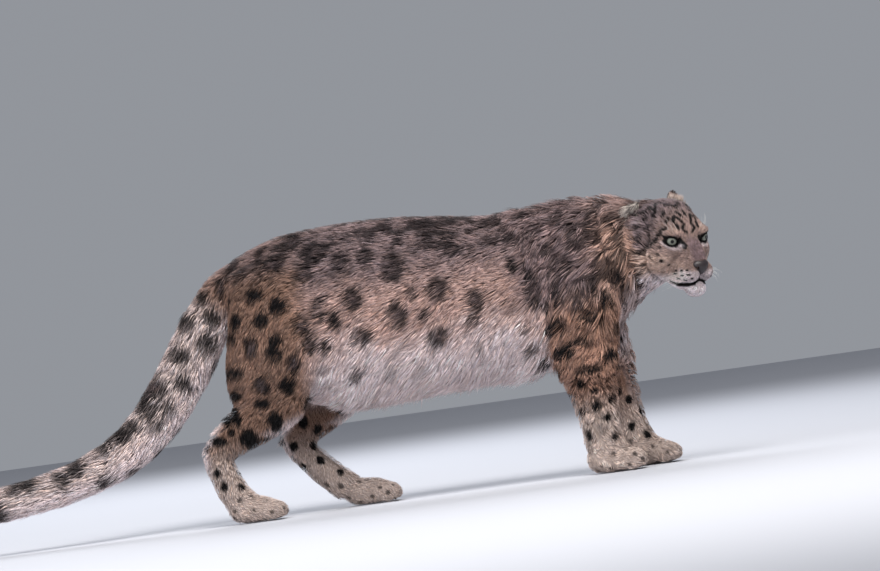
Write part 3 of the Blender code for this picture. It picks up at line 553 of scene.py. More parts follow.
def paw(name, size, side, step):
    """The pad of a foot and its toes."""
    length, width, height = size["length"], size["width"], size["height"]
    heel, apart = size["back_x"] + step, side * size["side"]
    made = [ball(name, (heel + 0.42 * length, apart, 0.46 * height),
                 (0.44 * length, 0.44 * width, 0.56 * height))]
    for toe in range(TOE_COUNT):
        place = (toe - (TOE_COUNT - 1) / 2) / (TOE_COUNT - 1)
        reach = 0.66 + 0.13 * (1 - abs(place) * 0.9)
        middle = (heel + reach * length, apart + place * 0.74 * width, 0.36 * height)
        made.append(ball(f"{name} toe", middle, (0.25 * length, 0.15 * width, 0.42 * height)))
    return made


def legs():
    made = []
    for side, stepping in ((-1, 0), (1, 1)):
        hind, fore = HIND_STEP * stepping, FORE_STEP * stepping
        for name, rows in (("thigh", THIGH), ("shank", SHANK), ("hind foot", HIND_FOOT)):
            made.append(limb(name, rows, side, hind, HIND_PIVOT))
        made.append(limb("fore leg", FORE_LEG, side, fore, FORE_PIVOT))
        made += paw("hind paw", HIND_PAW, side, hind)
        made += paw("fore paw", FORE_PAW, side, fore)
    return made


def tail(sides=24):
    rings = []
    rows = smooth_rows(TAIL, 4)
    for i, (x, y, z, depth, width) in enumerate(rows):
        ahead = Vector(rows[min(i + 1, len(rows) - 1)][:3] - rows[max(i - 1, 0)][:3]).normalized()
        across = ahead.cross(Vector((0, 0, 1))).normalized()
        rings.append(oval((x, y, z), across, across.cross(ahead), width, depth, depth, sides))
    return tube("tail", rings)


# The head's field


def head_place():
    """The matrix from the head's own forward, right and up, in metres, to the animal's frame."""
    turn = Matrix.Rotation(HEAD_YAW, 4, "Z") @ Matrix.Rotation(HEAD_PITCH, 4, "Y")
    return Matrix.Translation(Vector(EYES_AT) * MM) @ turn @ Matrix.Diagonal((1, -1, 1, 1))


def to_head(points):
    """Points of the animal's frame in the head's own, in millimetres."""
    turn = np.array(head_place().to_3x3())
    return (points - np.array(EYES_AT)) @ turn


def from_head(points):
    return points @ np.array(head_place().to_3x3()).T + np.array(EYES_AT)


def distance_to_form(points, middle, size, pitch):
    """How far points lie outside an ellipsoid, nearly."""
    turn = math.radians(pitch)
    off = points - np.array(middle, float)
    local = np.stack([off[:, 0] * math.cos(turn) - off[:, 2] * math.sin(turn), off[:, 1],
                      off[:, 0] * math.sin(turn) + off[:, 2] * math.cos(turn)], axis=1)
    size = np.array(size, float)
    one = np.linalg.norm(local / size, axis=1)
    two = np.linalg.norm(local / size**2, axis=1)
    return one * (one - 1) / np.maximum(two, 1e-6)


def melt(a, b, soft):
    """The smaller of two distances, with a soft fillet between them."""
    share = np.clip(0.5 + 0.5 * (b - a) / soft, 0, 1)
    return b * (1 - share) + a * share - soft * share * (1 - share)


def fold(points):
    """Points of the head's frame, all brought to its right side."""
    return points * (1, 0, 1) + np.abs(points) * (0, 1, 0)


def head_distance(points):
    """How far points in the head's own frame lie outside its outline."""
    folded = fold(points)
    found = None
    for middle, size, pitch, soft in HEAD_FORMS.values():
        form = distance_to_form(folded, middle, size, pitch)
        found = form if found is None else melt(found, form, soft)
    mound = np.linalg.norm(folded - (-EYE_BACK, EYE_SIDE, 0), axis=1) - EYE_RADIUS - LID + 1.2
    return melt(found, mound, 6)


def head_coat_depth(points):
    """How thick the coat lies over the skin of the head."""
    side = np.abs(points[:, 1])
    ruff = ramp(side, 28, 60) * ramp(-points[:, 0], 4, 60) * ramp(-points[:, 2], -30, 25)
    crown = ramp(-points[:, 0], 10, 60)
    return 1.2 + 3.2 * crown + 6 * ruff


def settle(points, steps=6):
    """Moves points of the head's frame onto its skin, which lies under the outline."""
    points = np.array(points, float)
    for _ in range(steps):
        here = head_distance(points)
        slope = np.stack([(head_distance(points + d) - here) / 0.2 for d in np.eye(3) * 0.2], axis=1)
        gap = here + head_coat_depth(points)
        points -= gap[:, None] * slope / np.maximum((slope**2).sum(axis=1), 0.2)[:, None]
    return points


def skin_point(start, direction):
    """Where a line out of the head meets its skin."""
    start, direction = np.array(start, float), np.array(direction, float)
    near, far = 0.0, 130.0
    for _ in range(24):
        middle = (near + far) / 2
        here = (start + direction * middle)[None]
        if (head_distance(here) + head_coat_depth(here))[0] > 0:
            far = middle
        else:
            near = middle
    return start + direction * near


@functools.lru_cache(maxsize=None)
def mouth_line(side):
    """The line between the lips, from the middle of the muzzle to the corner of the mouth."""
    line = []
    for degrees, up in MOUTH_LINE:
        angle = math.radians(degrees)
        line.append(skin_point((MOUTH_MIDDLE, 0, up), (math.cos(angle), side * math.sin(angle), 0)))
    return line


def eye_turn(side):
    """The frame of one eye: x looks out of it, y runs to the outer corner, z up the lid."""
    out = Matrix.Rotation(side * EYE_OUT, 4, "Z")
    slant = Matrix.Rotation(side * EYE_SLANT, 4, "X")
    middle = Vector((-EYE_BACK, side * EYE_SIDE, 0)) * MM
    return Matrix.Translation(middle) @ out @ slant @ Matrix.Diagonal((1, side, 1, 1))


def in_eye(points):
    """Points of the head's frame in the right eye's own."""
    turn = eye_turn(1)
    return (points - np.array(turn.translation) / MM) @ np.array(turn.to_3x3())


def eye_opening(side, points=40):
    """An almond bar that opens the lids, from inside the eyeball outwards."""
    half, rise = EYE_OPENING
    angle = 2 * math.pi * np.arange(points) / points
    across = half * np.cos(angle)
    up = rise * np.sin(angle) * np.abs(np.sin(angle)) ** 0.5 * np.where(np.sin(angle) > 0, 0.9, 1)
    rings = [np.stack([np.full(points, reach * EYE_RADIUS), across, up], axis=1) for reach in (0.3, 3)]
    made = tube("opening", rings)
    made.data.transform(eye_turn(side))
    if side < 0:
        made.data.flip_normals()
    return made


def head_skin():
    """The head's skin with lids, lips and the groove under the nose."""
    pieces = []
    for name, (middle, size, pitch, _) in HEAD_FORMS.items():
        for side in (1, -1) if middle[1] else (1,):
            pieces.append(ball(name, (middle[0], side * middle[1], middle[2]), size, pitch=pitch))
    made = remesh(join("head skin", pieces), HEAD_VOXEL, HEAD_SMOOTHING)
    write_points(made.data, settle(read_points(made.data)))
    for side in (1, -1):
        at = (-EYE_BACK, side * EYE_SIDE, 0)
        boolean(made, ball("lids", at, (EYE_RADIUS + LID - 0.6,) * 3, 24, 36), "UNION")
        boolean(made, eye_opening(side), "DIFFERENCE")
        boolean(made, ball("socket", at, (EYE_RADIUS + 0.1,) * 3, 24, 36), "DIFFERENCE")
        boolean(made, cord("groove", mouth_line(side), LIP_GROOVE, 10, 4), "DIFFERENCE")
    philtrum = [skin_point((4, 0, up), (1, 0, 0)) for up in (-60, -66, -72, -77)]
    boolean(made, cord("philtrum", philtrum, 1.1, 8, 3), "DIFFERENCE")
    made.data.transform(head_place())
    made.data.flip_normals()
    return made


# Where each kind of coat grows


class Places:
    """Which part of the animal each point belongs to. Points are in the animal's frame."""

    line = smooth_rows(TAIL, 4)[:, :3]

    def __init__(self, points, normals):
        self.points, self.normals = points, normals
        self.x, self.y, self.z = points.T
        self.head = to_head(points)
        self.on_head = ramp(self.head[:, 0], -124, -96) * (self.x > 556) * (self.z > 300)
        self.along, gap = np.zeros(len(points)), np.full(len(points), 999.0)
        behind = np.flatnonzero(self.x < -250)
        for start in range(0, len(behind), 20000):
            some = behind[start : start + 20000]
            gaps = np.linalg.norm(points[some, None] - self.line[None], axis=2)
            self.along[some], gap[some] = gaps.argmin(axis=1), gaps.min(axis=1)
        self.on_tail = ramp(self.along, 7, 11) * (gap < 68)
        self.along /= len(self.line) - 1
        left = ramp(self.y, 20, 45) * (1 - self.on_tail)
        hind = HIND_STEP * np.clip(1 - self.z / HIND_PIVOT, 0, None) * (self.x < 120)
        fore = FORE_STEP * np.clip(1 - self.z / FORE_PIVOT, 0, None) * (self.x > 250)
        self.level_x = self.x - left * (hind + fore)
        self.front = ramp(self.level_x, 290, 380)
        self.rear = 1 - ramp(self.level_x, -215, -120)
        self.low = 1 - ramp(self.z, 215, 300)
        self.inner = ramp(-normals[:, 1] * np.sign(self.y), 0.15, 0.6) * (self.z < 330)
        self.nose = np.linalg.norm(self.head - (50, 0, -48), axis=1)

    def kind(self):
        """The name of the part under each point."""
        found = np.full(len(self.points), "flank", dtype=object)
        found[self.z > 486] = "back"
        found[(self.level_x < -135)] = "thigh"
        found[(self.level_x < -60) & (self.z > 505)] = "back"
        found[(self.level_x > 300)] = "shoulder"
        found[(self.level_x > 490)] = "neck"
        belly_top = np.where(self.y < 0, 262, 345)
        found[(self.z < belly_top) & (self.level_x > -150) & (self.level_x < 345)] = "belly"
        found[self.z < 222] = "leg"
        found[(self.z < 232) & (self.z > 196) & (np.abs(self.normals[:, 2]) > 0.6)] = "belly"
        found[self.z < 62] = "paw"
        found[self.on_tail > 0.5] = "tail"
        found[self.on_head > 0.5] = "head"
        return found


def coat_depth(places):
    """How thick the coat lies over the skin, in millimetres."""
    depth = 11 + 4 * places.front + 2 * places.low
    depth = depth * (1 - 0.2 * places.rear)
    lower = 1 - ramp(places.z, 90, 260)
    depth = depth * (1 - lower) + 5.5 * lower
    feet = 1 - ramp(places.z, 50, 100)
    depth = depth * (1 - feet) + 3 * feet
    depth = depth * (1 - places.on_tail) + 14 * places.on_tail
    tip = ramp(places.along, 0.9, 1.0) * places.on_tail
    depth = depth * (1 - 0.6 * tip)
    on_head = head_coat_depth(places.head)
    return depth * (1 - places.on_head) + on_head * places.on_head


def coat_length(places, settings):
    """How long the tufts are, in millimetres."""
    x, z = places.level_x, places.z
    length = 34 + 12 * (1 - ramp(z, 330, 460)) + 22 * (1 - ramp(z, 235, 320))
    length = length + 20 * places.front
    length = length * (1 - 0.12 * places.rear) * (1 - 0.4 * (1 - ramp(x, -110, -20)) * (z < 300))
    lower = 1 - ramp(z, 120, 250)
    on_leg = (1 - ramp(z, 205, 235)) * (np.abs(places.normals[:, 2]) < 0.7)
    length = length * (1 - on_leg) + (15 + 10 * (1 - lower)) * on_leg
    limb = np.maximum(ramp(x, 335, 375), 1 - ramp(x, -160, -120))
    length = length + limb * (18 - length) * (1 - ramp(z, 170, 390))
    length = length * (1 - 0.35 * places.inner)
    feet = 1 - ramp(z, 40, 90)
    length = length * (1 - feet) + 9 * feet
    length = length * (1 - places.on_tail) + (48 - 16 * ramp(places.along, 0.85, 1)) * places.on_tail
    head, side = places.head, np.abs(places.head[:, 1])
    face = 3.2 + 0.115 * np.maximum(places.nose - 18, 0)
    chin = ramp(-head[:, 2], 84, 104) * ramp(head[:, 0], -20, 20)
    ruff = ramp(side, 26, 62) * ramp(-head[:, 0], 0, 62) * ramp(-head[:, 2], -35, 25)
    throat = ramp(-head[:, 2], 70, 100) * ramp(-head[:, 0], 0, 40)
    face = face + 2 * chin + 20 * np.maximum(ruff, throat * (1 - chin))
    length = length * (1 - places.on_head) + face * places.on_head
    return length * settings.length


def coat_width(places, length):
    """Half the width of the tufts, in millimetres."""
    wide = 0.5 + 0.0135 * length
    return np.where(places.on_head > 0.5, 0.36 + 0.02 * length, wide)


def coat_density(places, settings):
    """Tufts to the square metre."""
    found = np.full(len(places.points), COAT_DENSITY)
    found -= LEFT_FEWER * (places.y > 0) * (places.z < 450)
    found[places.z < 200] = LEG_DENSITY
    found[places.z < 75] = PAW_DENSITY
    found *= 1 - 0.25 * places.inner
    under = ramp(-places.normals[:, 2], 0.6, 0.9) * (places.z < 330)
    found *= 1 - 0.35 * under
    found = found * (1 - places.on_tail) + TAIL_DENSITY * places.on_tail
    near = 1 - ramp(places.nose, 62, 105)
    head = HEAD_DENSITY + FACE_MORE * near
    found = found * (1 - places.on_head) + head * places.on_head
    found[(places.z < 6) & (places.normals[:, 2] < -0.5)] = 0
    return found * settings.density


def bare(places):
    """True where no tuft grows: in the eyes, on the nose leather and between the lips."""
    folded = fold(places.head)
    eye = in_eye(folded)
    half, rise = EYE_OPENING
    found = (eye[:, 0] > 0) & ((eye[:, 1] / (half + 1.6)) ** 2 + (eye[:, 2] / (rise + 1.4)) ** 2 < 1)
    share = np.clip((folded[:, 2] - NOSE_BOTTOM[2]) / (NOSE_TOP[2] - NOSE_BOTTOM[2]), 0, 1)
    rows = np.array(NOSE_ROWS)
    width = np.interp(share, rows[:, 0], rows[:, 1])
    found |= (folded[:, 0] > 36) & (folded[:, 1] < width + 0.5) & (folded[:, 2] > NOSE_BOTTOM[2] - 2) & (
        folded[:, 2] < NOSE_TOP[2] + 0.5)
    lips = np.array(mouth_line(1))
    for a, b in zip(lips[:-1], lips[1:]):
        found |= distance_to_line(folded, a, b) < 2.0
    return found & (places.on_head > 0.5)


def distance_to_line(points, a, b):
    """How far points lie from the straight line between a and b."""
    way = b - a
    share = np.clip((points - a) @ way / max(way @ way, 1e-9), 0, 1)
    return np.linalg.norm(points - a - share[:, None] * way, axis=1)


def coat_lie(places):
    """The way the coat lies: unit vectors along the skin."""
    x, z, normals = places.level_x, places.z, places.normals
    fall = np.clip((440 - z) / 170, 0, 1)
    one = np.ones(len(x))
    way = np.stack([-1 + 0.42 * fall, 0 * one, -0.25 - 0.62 * fall], axis=1)
    front = np.stack([-0.62 + 0.3 * fall, 0 * one, -0.6 - 0.4 * fall], axis=1)
    chest = np.stack([-0.15 * one, 0 * one, -1 * one], axis=1)
    front = mix(front, chest, ramp(normals[:, 0], 0.35, 0.7))
    thigh = np.stack([-0.5 * one, 0 * one, -0.87 * one], axis=1)
    way = mix(way, front, ramp(x, 250, 380))
    way = mix(way, thigh, places.rear)
    leg = np.stack([-0.16 * one, 0 * one, -1 * one], axis=1)
    way = mix(way, leg, 1 - ramp(z, 180, 250))
    toes = np.stack([0.85 * one, 0 * one, -0.5 * one], axis=1)
    way = mix(way, toes, 1 - ramp(z, 45, 80))
    index = np.clip((places.along * (len(Places.line) - 1)).astype(int), 1, len(Places.line) - 2)
    way = mix(way, unit(Places.line[index + 1] - Places.line[index - 1]), places.on_tail)
    from_nose = places.head - np.array((62, 0, -40))
    from_nose[:, 1] *= 0.8
    from_nose[:, 2] *= 0.8
    face = unit(from_nose) + (-0.25, 0, 0)
    neck_way = to_head_way(front)
    face = mix(face, neck_way, 1 - ramp(places.head[:, 0], -105, -50))
    way = mix(way, from_head_way(face), places.on_head)
    way -= normals * dot(way, normals)[:, None]
    lost = np.linalg.norm(way, axis=1) < 0.08
    way[lost] = np.cross(normals[lost], (0.0, 1.0, 0.2))
    return unit(way)


def to_head_way(ways):
    return ways @ np.array(head_place().to_3x3())


def from_head_way(ways):
    return ways @ np.array(head_place().to_3x3()).T


def turned(ways, normals, angles):
    """Directions turned about their normals."""
    side = np.cross(normals, ways)
    return ways * np.cos(angles)[:, None] + side * np.sin(angles)[:, None]


# Markings


def photo_point(px, py):
    """Where an element of the photograph lies: x and z in the animal's frame."""
    u, v = px - ORIGIN_PIXEL[0], ORIGIN_PIXEL[1] - py
    return (PIXEL * (u * math.cos(SLOPE) + v * math.sin(SLOPE)),
            PIXEL * (-u * math.sin(SLOPE) + v * math.cos(SLOPE)))


class Markings:
    """Rosettes, spots and streaks, held as places on the skin."""

    def __init__(self, skin):
        self.points = read_points(skin.data)
        self.normals = read_normals(skin.data)
        self.tree = surface_of(skin)
        self.random = np.random.default_rng(SEED)
        self.marks, self.streaks = [], []
        for rows, kind, strength in ((FLANK_ROSETTES, "ring", 0.95), (FAINT_MARKS, "spot", 0.4),
                                     (LEG_SPOTS, "spot", 1.0), (TAIL_BLOTCHES, "spot", 0.95)):
            for px, py, wide, tall in rows:
                self.name_mark(px, py, wide, tall, "ring" if tall > 9.5 else kind, strength)
        for x0, y0, x1, y1, half in HEAD_STREAKS:
            first, last = (fold(to_head(self.on_skin(*photo_point(*end))[None]))[0]
                           for end in ((x0, y0), (x1, y1)))
            self.streaks.append((first, last, STREAK_GROWTH * half * PIXEL))
        self.strew()

    def on_skin(self, x, z):
        """The place on the right side of the skin that the photograph shows at x and z."""
        hit, _, _, _ = self.tree.ray_cast(Vector((x, -600, z)), Vector((0, 1, 0)))
        if hit is None:
            hit, _, _, _ = self.tree.find_nearest(Vector((x, -90, z)))
        return np.array(hit)

    def name_mark(self, px, py, wide, tall, kind, strength):
        x, z = photo_point(px, py)
        self.marks.append({"at": self.on_skin(x, z), "along": np.array((0.0, 0.0, 1.0)),
                           "long": MARK_GROWTH * tall * PIXEL, "wide": MARK_GROWTH * wide * PIXEL,
                           "kind": kind, "strength": strength, "seen": True})

    def strew(self):
        """Fills the skin that has no named markings, each with room to the next."""
        places = Places(self.points, self.normals)
        kinds = places.kind()
        lies = coat_lie(places)
        kinds[(kinds == "head") & (places.head[:, 0] < -58) & (places.head[:, 2] > -20)] = "crown"
        seen = (self.normals[:, 1] < -0.3) & (self.points[:, 2] > 200) & (self.points[:, 0] > -900)
        seen &= (self.points[:, 0] < 560) & (kinds != "shoulder") & (kinds != "neck")
        centres = [m["at"] for m in self.marks]
        rooms = [0.9 * (m["long"] + m["wide"]) for m in self.marks]
        for i in self.random.permutation(len(self.points))[:STREWN_TRIES]:
            kind = kinds[i]
            if kind not in STREWN or places.inner[i] > 0.7 and places.z[i] > 215 and kind != "tail":
                continue
            room, half, strength, shape = STREWN[kind]
            here = self.points[i]
            gaps = np.linalg.norm(np.array(centres) - here, axis=1)
            clear = gaps > np.maximum(room, 0.5 * (np.array(rooms) + room))
            if seen[i]:
                clear &= gaps > 1.25 * room
            if not clear.all():
                continue
            size = half * self.random.uniform(0.75, 1.2)
            self.marks.append({"at": here, "along": lies[i], "wide": size,
                               "long": size * self.random.uniform(1.0, 1.35), "kind": shape,
                               "strength": strength, "seen": False})
            centres.append(here)
            rooms.append(room)

    def dark(self, points):
        """How dark the markings make each point, and how far it lies in a rosette's core."""
        dark, core = np.zeros(len(points)), np.zeros(len(points))
        rough = 0.20 * noise(points, 9, 3) + 0.16 * noise(points, 4, 4)
        for number, mark in enumerate(self.marks):
            reach = 1.5 * max(mark["long"], mark["wide"])
            off = points - mark["at"]
            if mark["seen"]:
                off = off * (1, 0.3, 1)
            near = np.flatnonzero((np.abs(off) < reach).all(axis=1))
            if not len(near):
                continue
            off = off[near]
            along = off @ mark["along"]
            across = np.sqrt(np.maximum((off**2).sum(axis=1) - along**2, 0))
            share = np.sqrt((along / mark["long"]) ** 2 + (across / mark["wide"]) ** 2)
            share = share + rough[near]
            strength = mark["strength"] * (1 - ramp(share, 0.84, 1.14))
            if mark["kind"] == "ring":
                broken = 0.35 * ramp(noise(points[near], 15, 40 + number), 0.15, 0.5)
                strength = strength * (1 - broken)
                core[near] = np.maximum(core[near], 1 - ramp(share, 0.30, 0.62))
            dark[near] = np.maximum(dark[near], strength)
        return dark, core

    def streaked(self, head):
        """How dark the streaks and dots of the head make each point of its frame."""
        folded = fold(head)
        dark = np.zeros(len(head))
        for a, b, half in self.streaks:
            near = np.flatnonzero(np.linalg.norm(folded - (a + b) / 2, axis=1)
                                  < np.linalg.norm(b - a) / 2 + 2 * half)
            if len(near):
                share = distance_to_line(folded[near], a, b) / half
                dark[near] = np.maximum(dark[near], 1 - ramp(share, 0.75, 1.35))
        return dark


def head_colour(places, colour):
    """Lays the colours of the head over the coat's."""
    hue = {name: straight(value) for name, value in HUES.items()}
    head = places.head
    forward, side, up = head[:, 0], np.abs(head[:, 1]), head[:, 2]
    ground = mix(np.broadcast_to(hue["crown"], colour.shape), hue["face"], ramp(forward, -70, -10))
    ground = mix(ground, hue["cheek"], ramp(side, 24, 44) * ramp(-up, 18, 40) * ramp(forward, -95, -60))
    bridge = (1 - ramp(side, 12, 20)) * ramp(forward, 6, 20) * ramp(up, -40, -28)
    ground = mix(ground, hue["bridge"], bridge)
    eye = np.linalg.norm(np.stack([forward + 4, side - 36, (up + 24) * 1.1], axis=1), axis=1)
    ground = mix(ground, hue["under eye"], 0.85 * (1 - ramp(eye, 12, 24)))
    tear = np.linalg.norm(np.stack([forward - 8, side - 27, (up + 15) * 0.5], axis=1), axis=1)
    ground = mix(ground, hue["white"], 0.25 * (1 - ramp(tear, 4, 10)))
    above = np.linalg.norm(np.stack([forward + 4, side - 34, (up - 19) * 1.6], axis=1), axis=1)
    ground = mix(ground, hue["cheek"], 0.5 * (1 - ramp(above, 8, 18)))
    ear = np.linalg.norm(head - (-94, 66, 8), axis=1)
    ground = mix(ground, hue["white"], 0.55 * (1 - ramp(ear, 10, 26)) * ramp(noise(head, 6, 22), -0.4, 0.3))
    pads = ramp(forward, 14, 34) * ramp(-up, 50, 60)
    ground = mix(ground, hue["white"], 0.68 * pads)
    chin = ramp(-up, 82, 92) * ramp(forward, -50, -10)
    ground = mix(ground, hue["white"], np.maximum(0.95 * chin, 0.8 * ramp(-up, 66, 92)))
    return mix(colour, ground, places.on_head)


def paint(points, normals, markings):
    """The coat's colour at each point, linear, and how dark its markings are there."""
    hue = {name: straight(value) for name, value in HUES.items()}
    places = Places(points, normals)
    x, z = places.level_x, places.z
    cloud = noise(points, 60, 1)
    fine = noise(points, 16, 2)
    colour = np.broadcast_to(hue["flank"], points.shape)
    colour = mix(colour, hue["back"], ramp(z + 16 * cloud + 10 * fine, 418, 505))
    haunch = (1 - ramp(x + 14 * cloud, -180, -105)) * (1 - 0.75 * ramp(z, 470, 545))
    colour = mix(colour, hue["thigh"], haunch)
    colour = mix(colour, hue["shoulder"], ramp(x + 20 * cloud, 270, 330) * ramp(z + 20 * fine, 330, 400))
    colour = mix(colour, hue["neck"], ramp(x + 12 * cloud, 440, 500) * ramp(z, 330, 400))
    colour = mix(colour, hue["back"], 0.7 * ramp(x, 420, 470) * ramp(z + 14 * fine, 470, 540))
    colour = mix(colour, hue["elbow"], ramp(x, 335, 370) * (1 - ramp(z + 14 * cloud, 330, 385)))
    strands = noise(points * (1, 1, 0.25), 8, 11)
    trunk_low = 1 - ramp(z + 22 * cloud + 16 * fine + 24 * strands, 276, 384)
    trunk_low = trunk_low * ramp(x, -185, -105) * (1 - ramp(x + 14 * strands, 300, 365))
    colour = mix(colour, hue["belly"], trunk_low)
    throat = ramp(normals[:, 0], 0.45, 0.8) * (1 - ramp(np.abs(places.y), 35, 75))
    throat = (throat + ramp(-normals[:, 2], 0.4, 0.75) * (z > 240)) * (x > 430)
    colour = mix(colour, hue["belly"], 0.7 * np.clip(throat, 0, 1) * (1 - ramp(z, 380, 450)))
    colour = mix(colour, hue["belly"], 0.9 * places.inner * ramp(z, 200, 260))
    colour = mix(colour, hue["belly"], 0.9 * ramp(-normals[:, 2], 0.4, 0.8) * (z > 180) * (z < 300))
    colour = mix(colour, hue["paw"], 1 - ramp(z + 12 * cloud, 90, 190))
    heel = (1 - ramp(normals[:, 0], -0.75, -0.35)) * (1 - ramp(z, 190, 250)) * ramp(z, 100, 140)
    colour = mix(colour, hue["belly"], 0.85 * heel * (x < -250))
    tail = mix(np.broadcast_to(hue["tail"], points.shape), hue["belly"], ramp(-normals[:, 2], 0.0, 0.6))
    tail = mix(tail, hue["shoulder"], 0.3 * ramp(normals[:, 2] + 0.25 * fine, 0.25, 0.7))
    colour = mix(colour, tail, places.on_tail)
    colour = head_colour(places, colour)
    colour = colour * (1 + 0.10 * cloud + 0.09 * fine)[:, None]
    mottle = ramp(z, 440, 520) * (x > -300) * (x < 330) * (1 - places.on_head)
    mottle = np.maximum(mottle, 0.9 * places.front * ramp(z, 320, 420) * (1 - places.on_head))
    blotch = ramp(noise(points * (1, 1, 0.8), 17, 7) + 0.5 * noise(points, 7, 8), 0.02, 0.26)
    dark, core = markings.dark(points)
    dark = dark * (1 - places.on_head * (places.head[:, 0] > -58))
    dark = np.maximum(dark, 0.9 * mottle * blotch * (1 - places.on_tail))
    deep = mix(np.broadcast_to(hue["dark back"], points.shape), hue["dark"],
               np.clip((1 - ramp(z, 300, 430)) + places.on_tail + places.on_head + 0.6 * (x < -140), 0, 1))
    deep = mix(deep, hue["core"], 0.75 * core)
    colour = mix(colour, deep, dark)
    streaks = markings.streaked(places.head) * places.on_head
    colour = mix(colour, hue["dark"], streaks)
    colour, rims = face_lines(places, colour, hue)
    return np.clip(colour, 0.002, 1), np.maximum(np.maximum(dark, streaks), rims)


def face_lines(places, colour, hue):
    """The black rims of the eyes and the lips."""
    folded = fold(places.head)
    eye = in_eye(folded)
    half, rise = EYE_OPENING
    edge = np.sqrt((eye[:, 1] / half) ** 2 + (eye[:, 2] / rise) ** 2)
    rim = (1 - ramp(edge, 1.34, 1.62)) * (eye[:, 0] > 0)
    halo = (1 - ramp(edge, 1.62, 2.3)) * (eye[:, 0] > 0) * ramp(-eye[:, 2], -2, 4)
    lips = np.array(mouth_line(1))
    gap = np.full(len(folded), 99.0)
    for a, b in zip(lips[:-1], lips[1:]):
        gap = np.minimum(gap, distance_to_line(folded, a, b))
    for a, b in zip(lips[1:4], lips[2:5]):
        gap = np.minimum(gap, distance_to_line(folded, a - (0, 0, LIP_DROP), b - (0, 0, LIP_DROP)))
    lip = 1 - ramp(gap, 2.4, 4.4)
    groove = (1 - ramp(folded[:, 1], 0.8, 1.8)) * (folded[:, 0] > 30)
    groove = groove * (folded[:, 2] < -58) * (folded[:, 2] > -80)
    on_head = places.on_head
    colour = mix(colour, hue["white"], 0.45 * halo * on_head)
    colour = mix(colour, hue["rim"], rim * on_head)
    colour = mix(colour, hue["lip"], np.maximum(lip, groove) * on_head)
    return colour, np.maximum(np.maximum(rim, lip), groove) * on_head


# Skin and coat


def surface_of(made):
    """A tree of the object's faces, in millimetres."""
    made.data.calc_loop_triangles()
    count = len(made.data.loop_triangles)
    corners = np.empty(count * 3, np.int32)
    made.data.loop_triangles.foreach_get("vertices", corners)
    return BVHTree.FromPolygons(read_points(made.data).tolist(), corners.reshape(-1, 3).tolist())


def unwrap(made):
    """Gives the object its bake map from its own shape."""
    made.data.uv_layers.new(name="OFBake")
    bpy.context.view_layer.objects.active = made
    bpy.ops.object.mode_set(mode="EDIT")
    bpy.ops.mesh.select_all(action="SELECT")
    bpy.ops.uv.smart_project(angle_limit=math.radians(66), island_margin=0.002)
    bpy.ops.object.mode_set(mode="OBJECT")


def colour_points(mesh, colours):
    layer = mesh.attributes.new("coat_colour", "FLOAT_COLOR", "POINT")
    filled = np.ones((len(colours), 4), np.float32)
    filled[:, :3] = colours
    layer.data.foreach_set("color", filled.ravel())


def build_skin():
    """One skin for the whole animal, under the outline of the coat by the coat's depth."""
    made = remesh(join("skin", [trunk(), neck(), tail(), *legs()]), BODY_VOXEL, BODY_SMOOTHING)
    points, normals = read_points(made.data), read_normals(made.data)
    depth = coat_depth(Places(points, normals))
    points -= normals * depth[:, None]
    points[:, 2] = np.maximum(points[:, 2], SOLE)
    write_points(made.data, points)
    boolean(made, head_skin(), "UNION")
    sort_faces(made)
    made.name = made.data.name = "skin"
    made.data.shade_smooth()
    return made


def scatter(made, density, random):
    """Roots of tufts spread over an object: place, normal, map place.

    density gives the tufts to the square metre, from the faces' middles and normals."""
    mesh = made.data
    mesh.calc_loop_triangles()
    count = len(mesh.loop_triangles)
    corners, loops = np.empty(count * 3, np.int32), np.empty(count * 3, np.int32)
    mesh.loop_triangles.foreach_get("vertices", corners)
    mesh.loop_triangles.foreach_get("loops", loops)
    uv = np.empty(len(mesh.loops) * 2, np.float32)
    mesh.uv_layers["OFBake"].data.foreach_get("uv", uv)
    points = read_points(mesh)[corners.reshape(-1, 3)]
    normals = read_normals(mesh)[corners.reshape(-1, 3)]
    a, b, c = points.transpose(1, 0, 2)
    areas = np.linalg.norm(np.cross(b - a, c - a), axis=1) / 2
    wanted = areas * 1e-6 * density((a + b + c) / 3, unit(normals.sum(axis=1)))
    number = np.floor(wanted + random.random(count)).astype(int)
    chosen = np.repeat(np.arange(count), number)
    share = random.random((len(chosen), 2))
    over = share.sum(axis=1) > 1
    share[over] = 1 - share[over]
    weight = np.stack([1 - share.sum(axis=1), share[:, 0], share[:, 1]], axis=1)[:, :, None]
    at = (points[chosen] * weight).sum(axis=1)
    normal = unit((normals[chosen] * weight).sum(axis=1))
    place = (uv.reshape(-1, 2)[loops.reshape(-1, 3)[chosen]] * weight).sum(axis=1)
    return at, normal, place


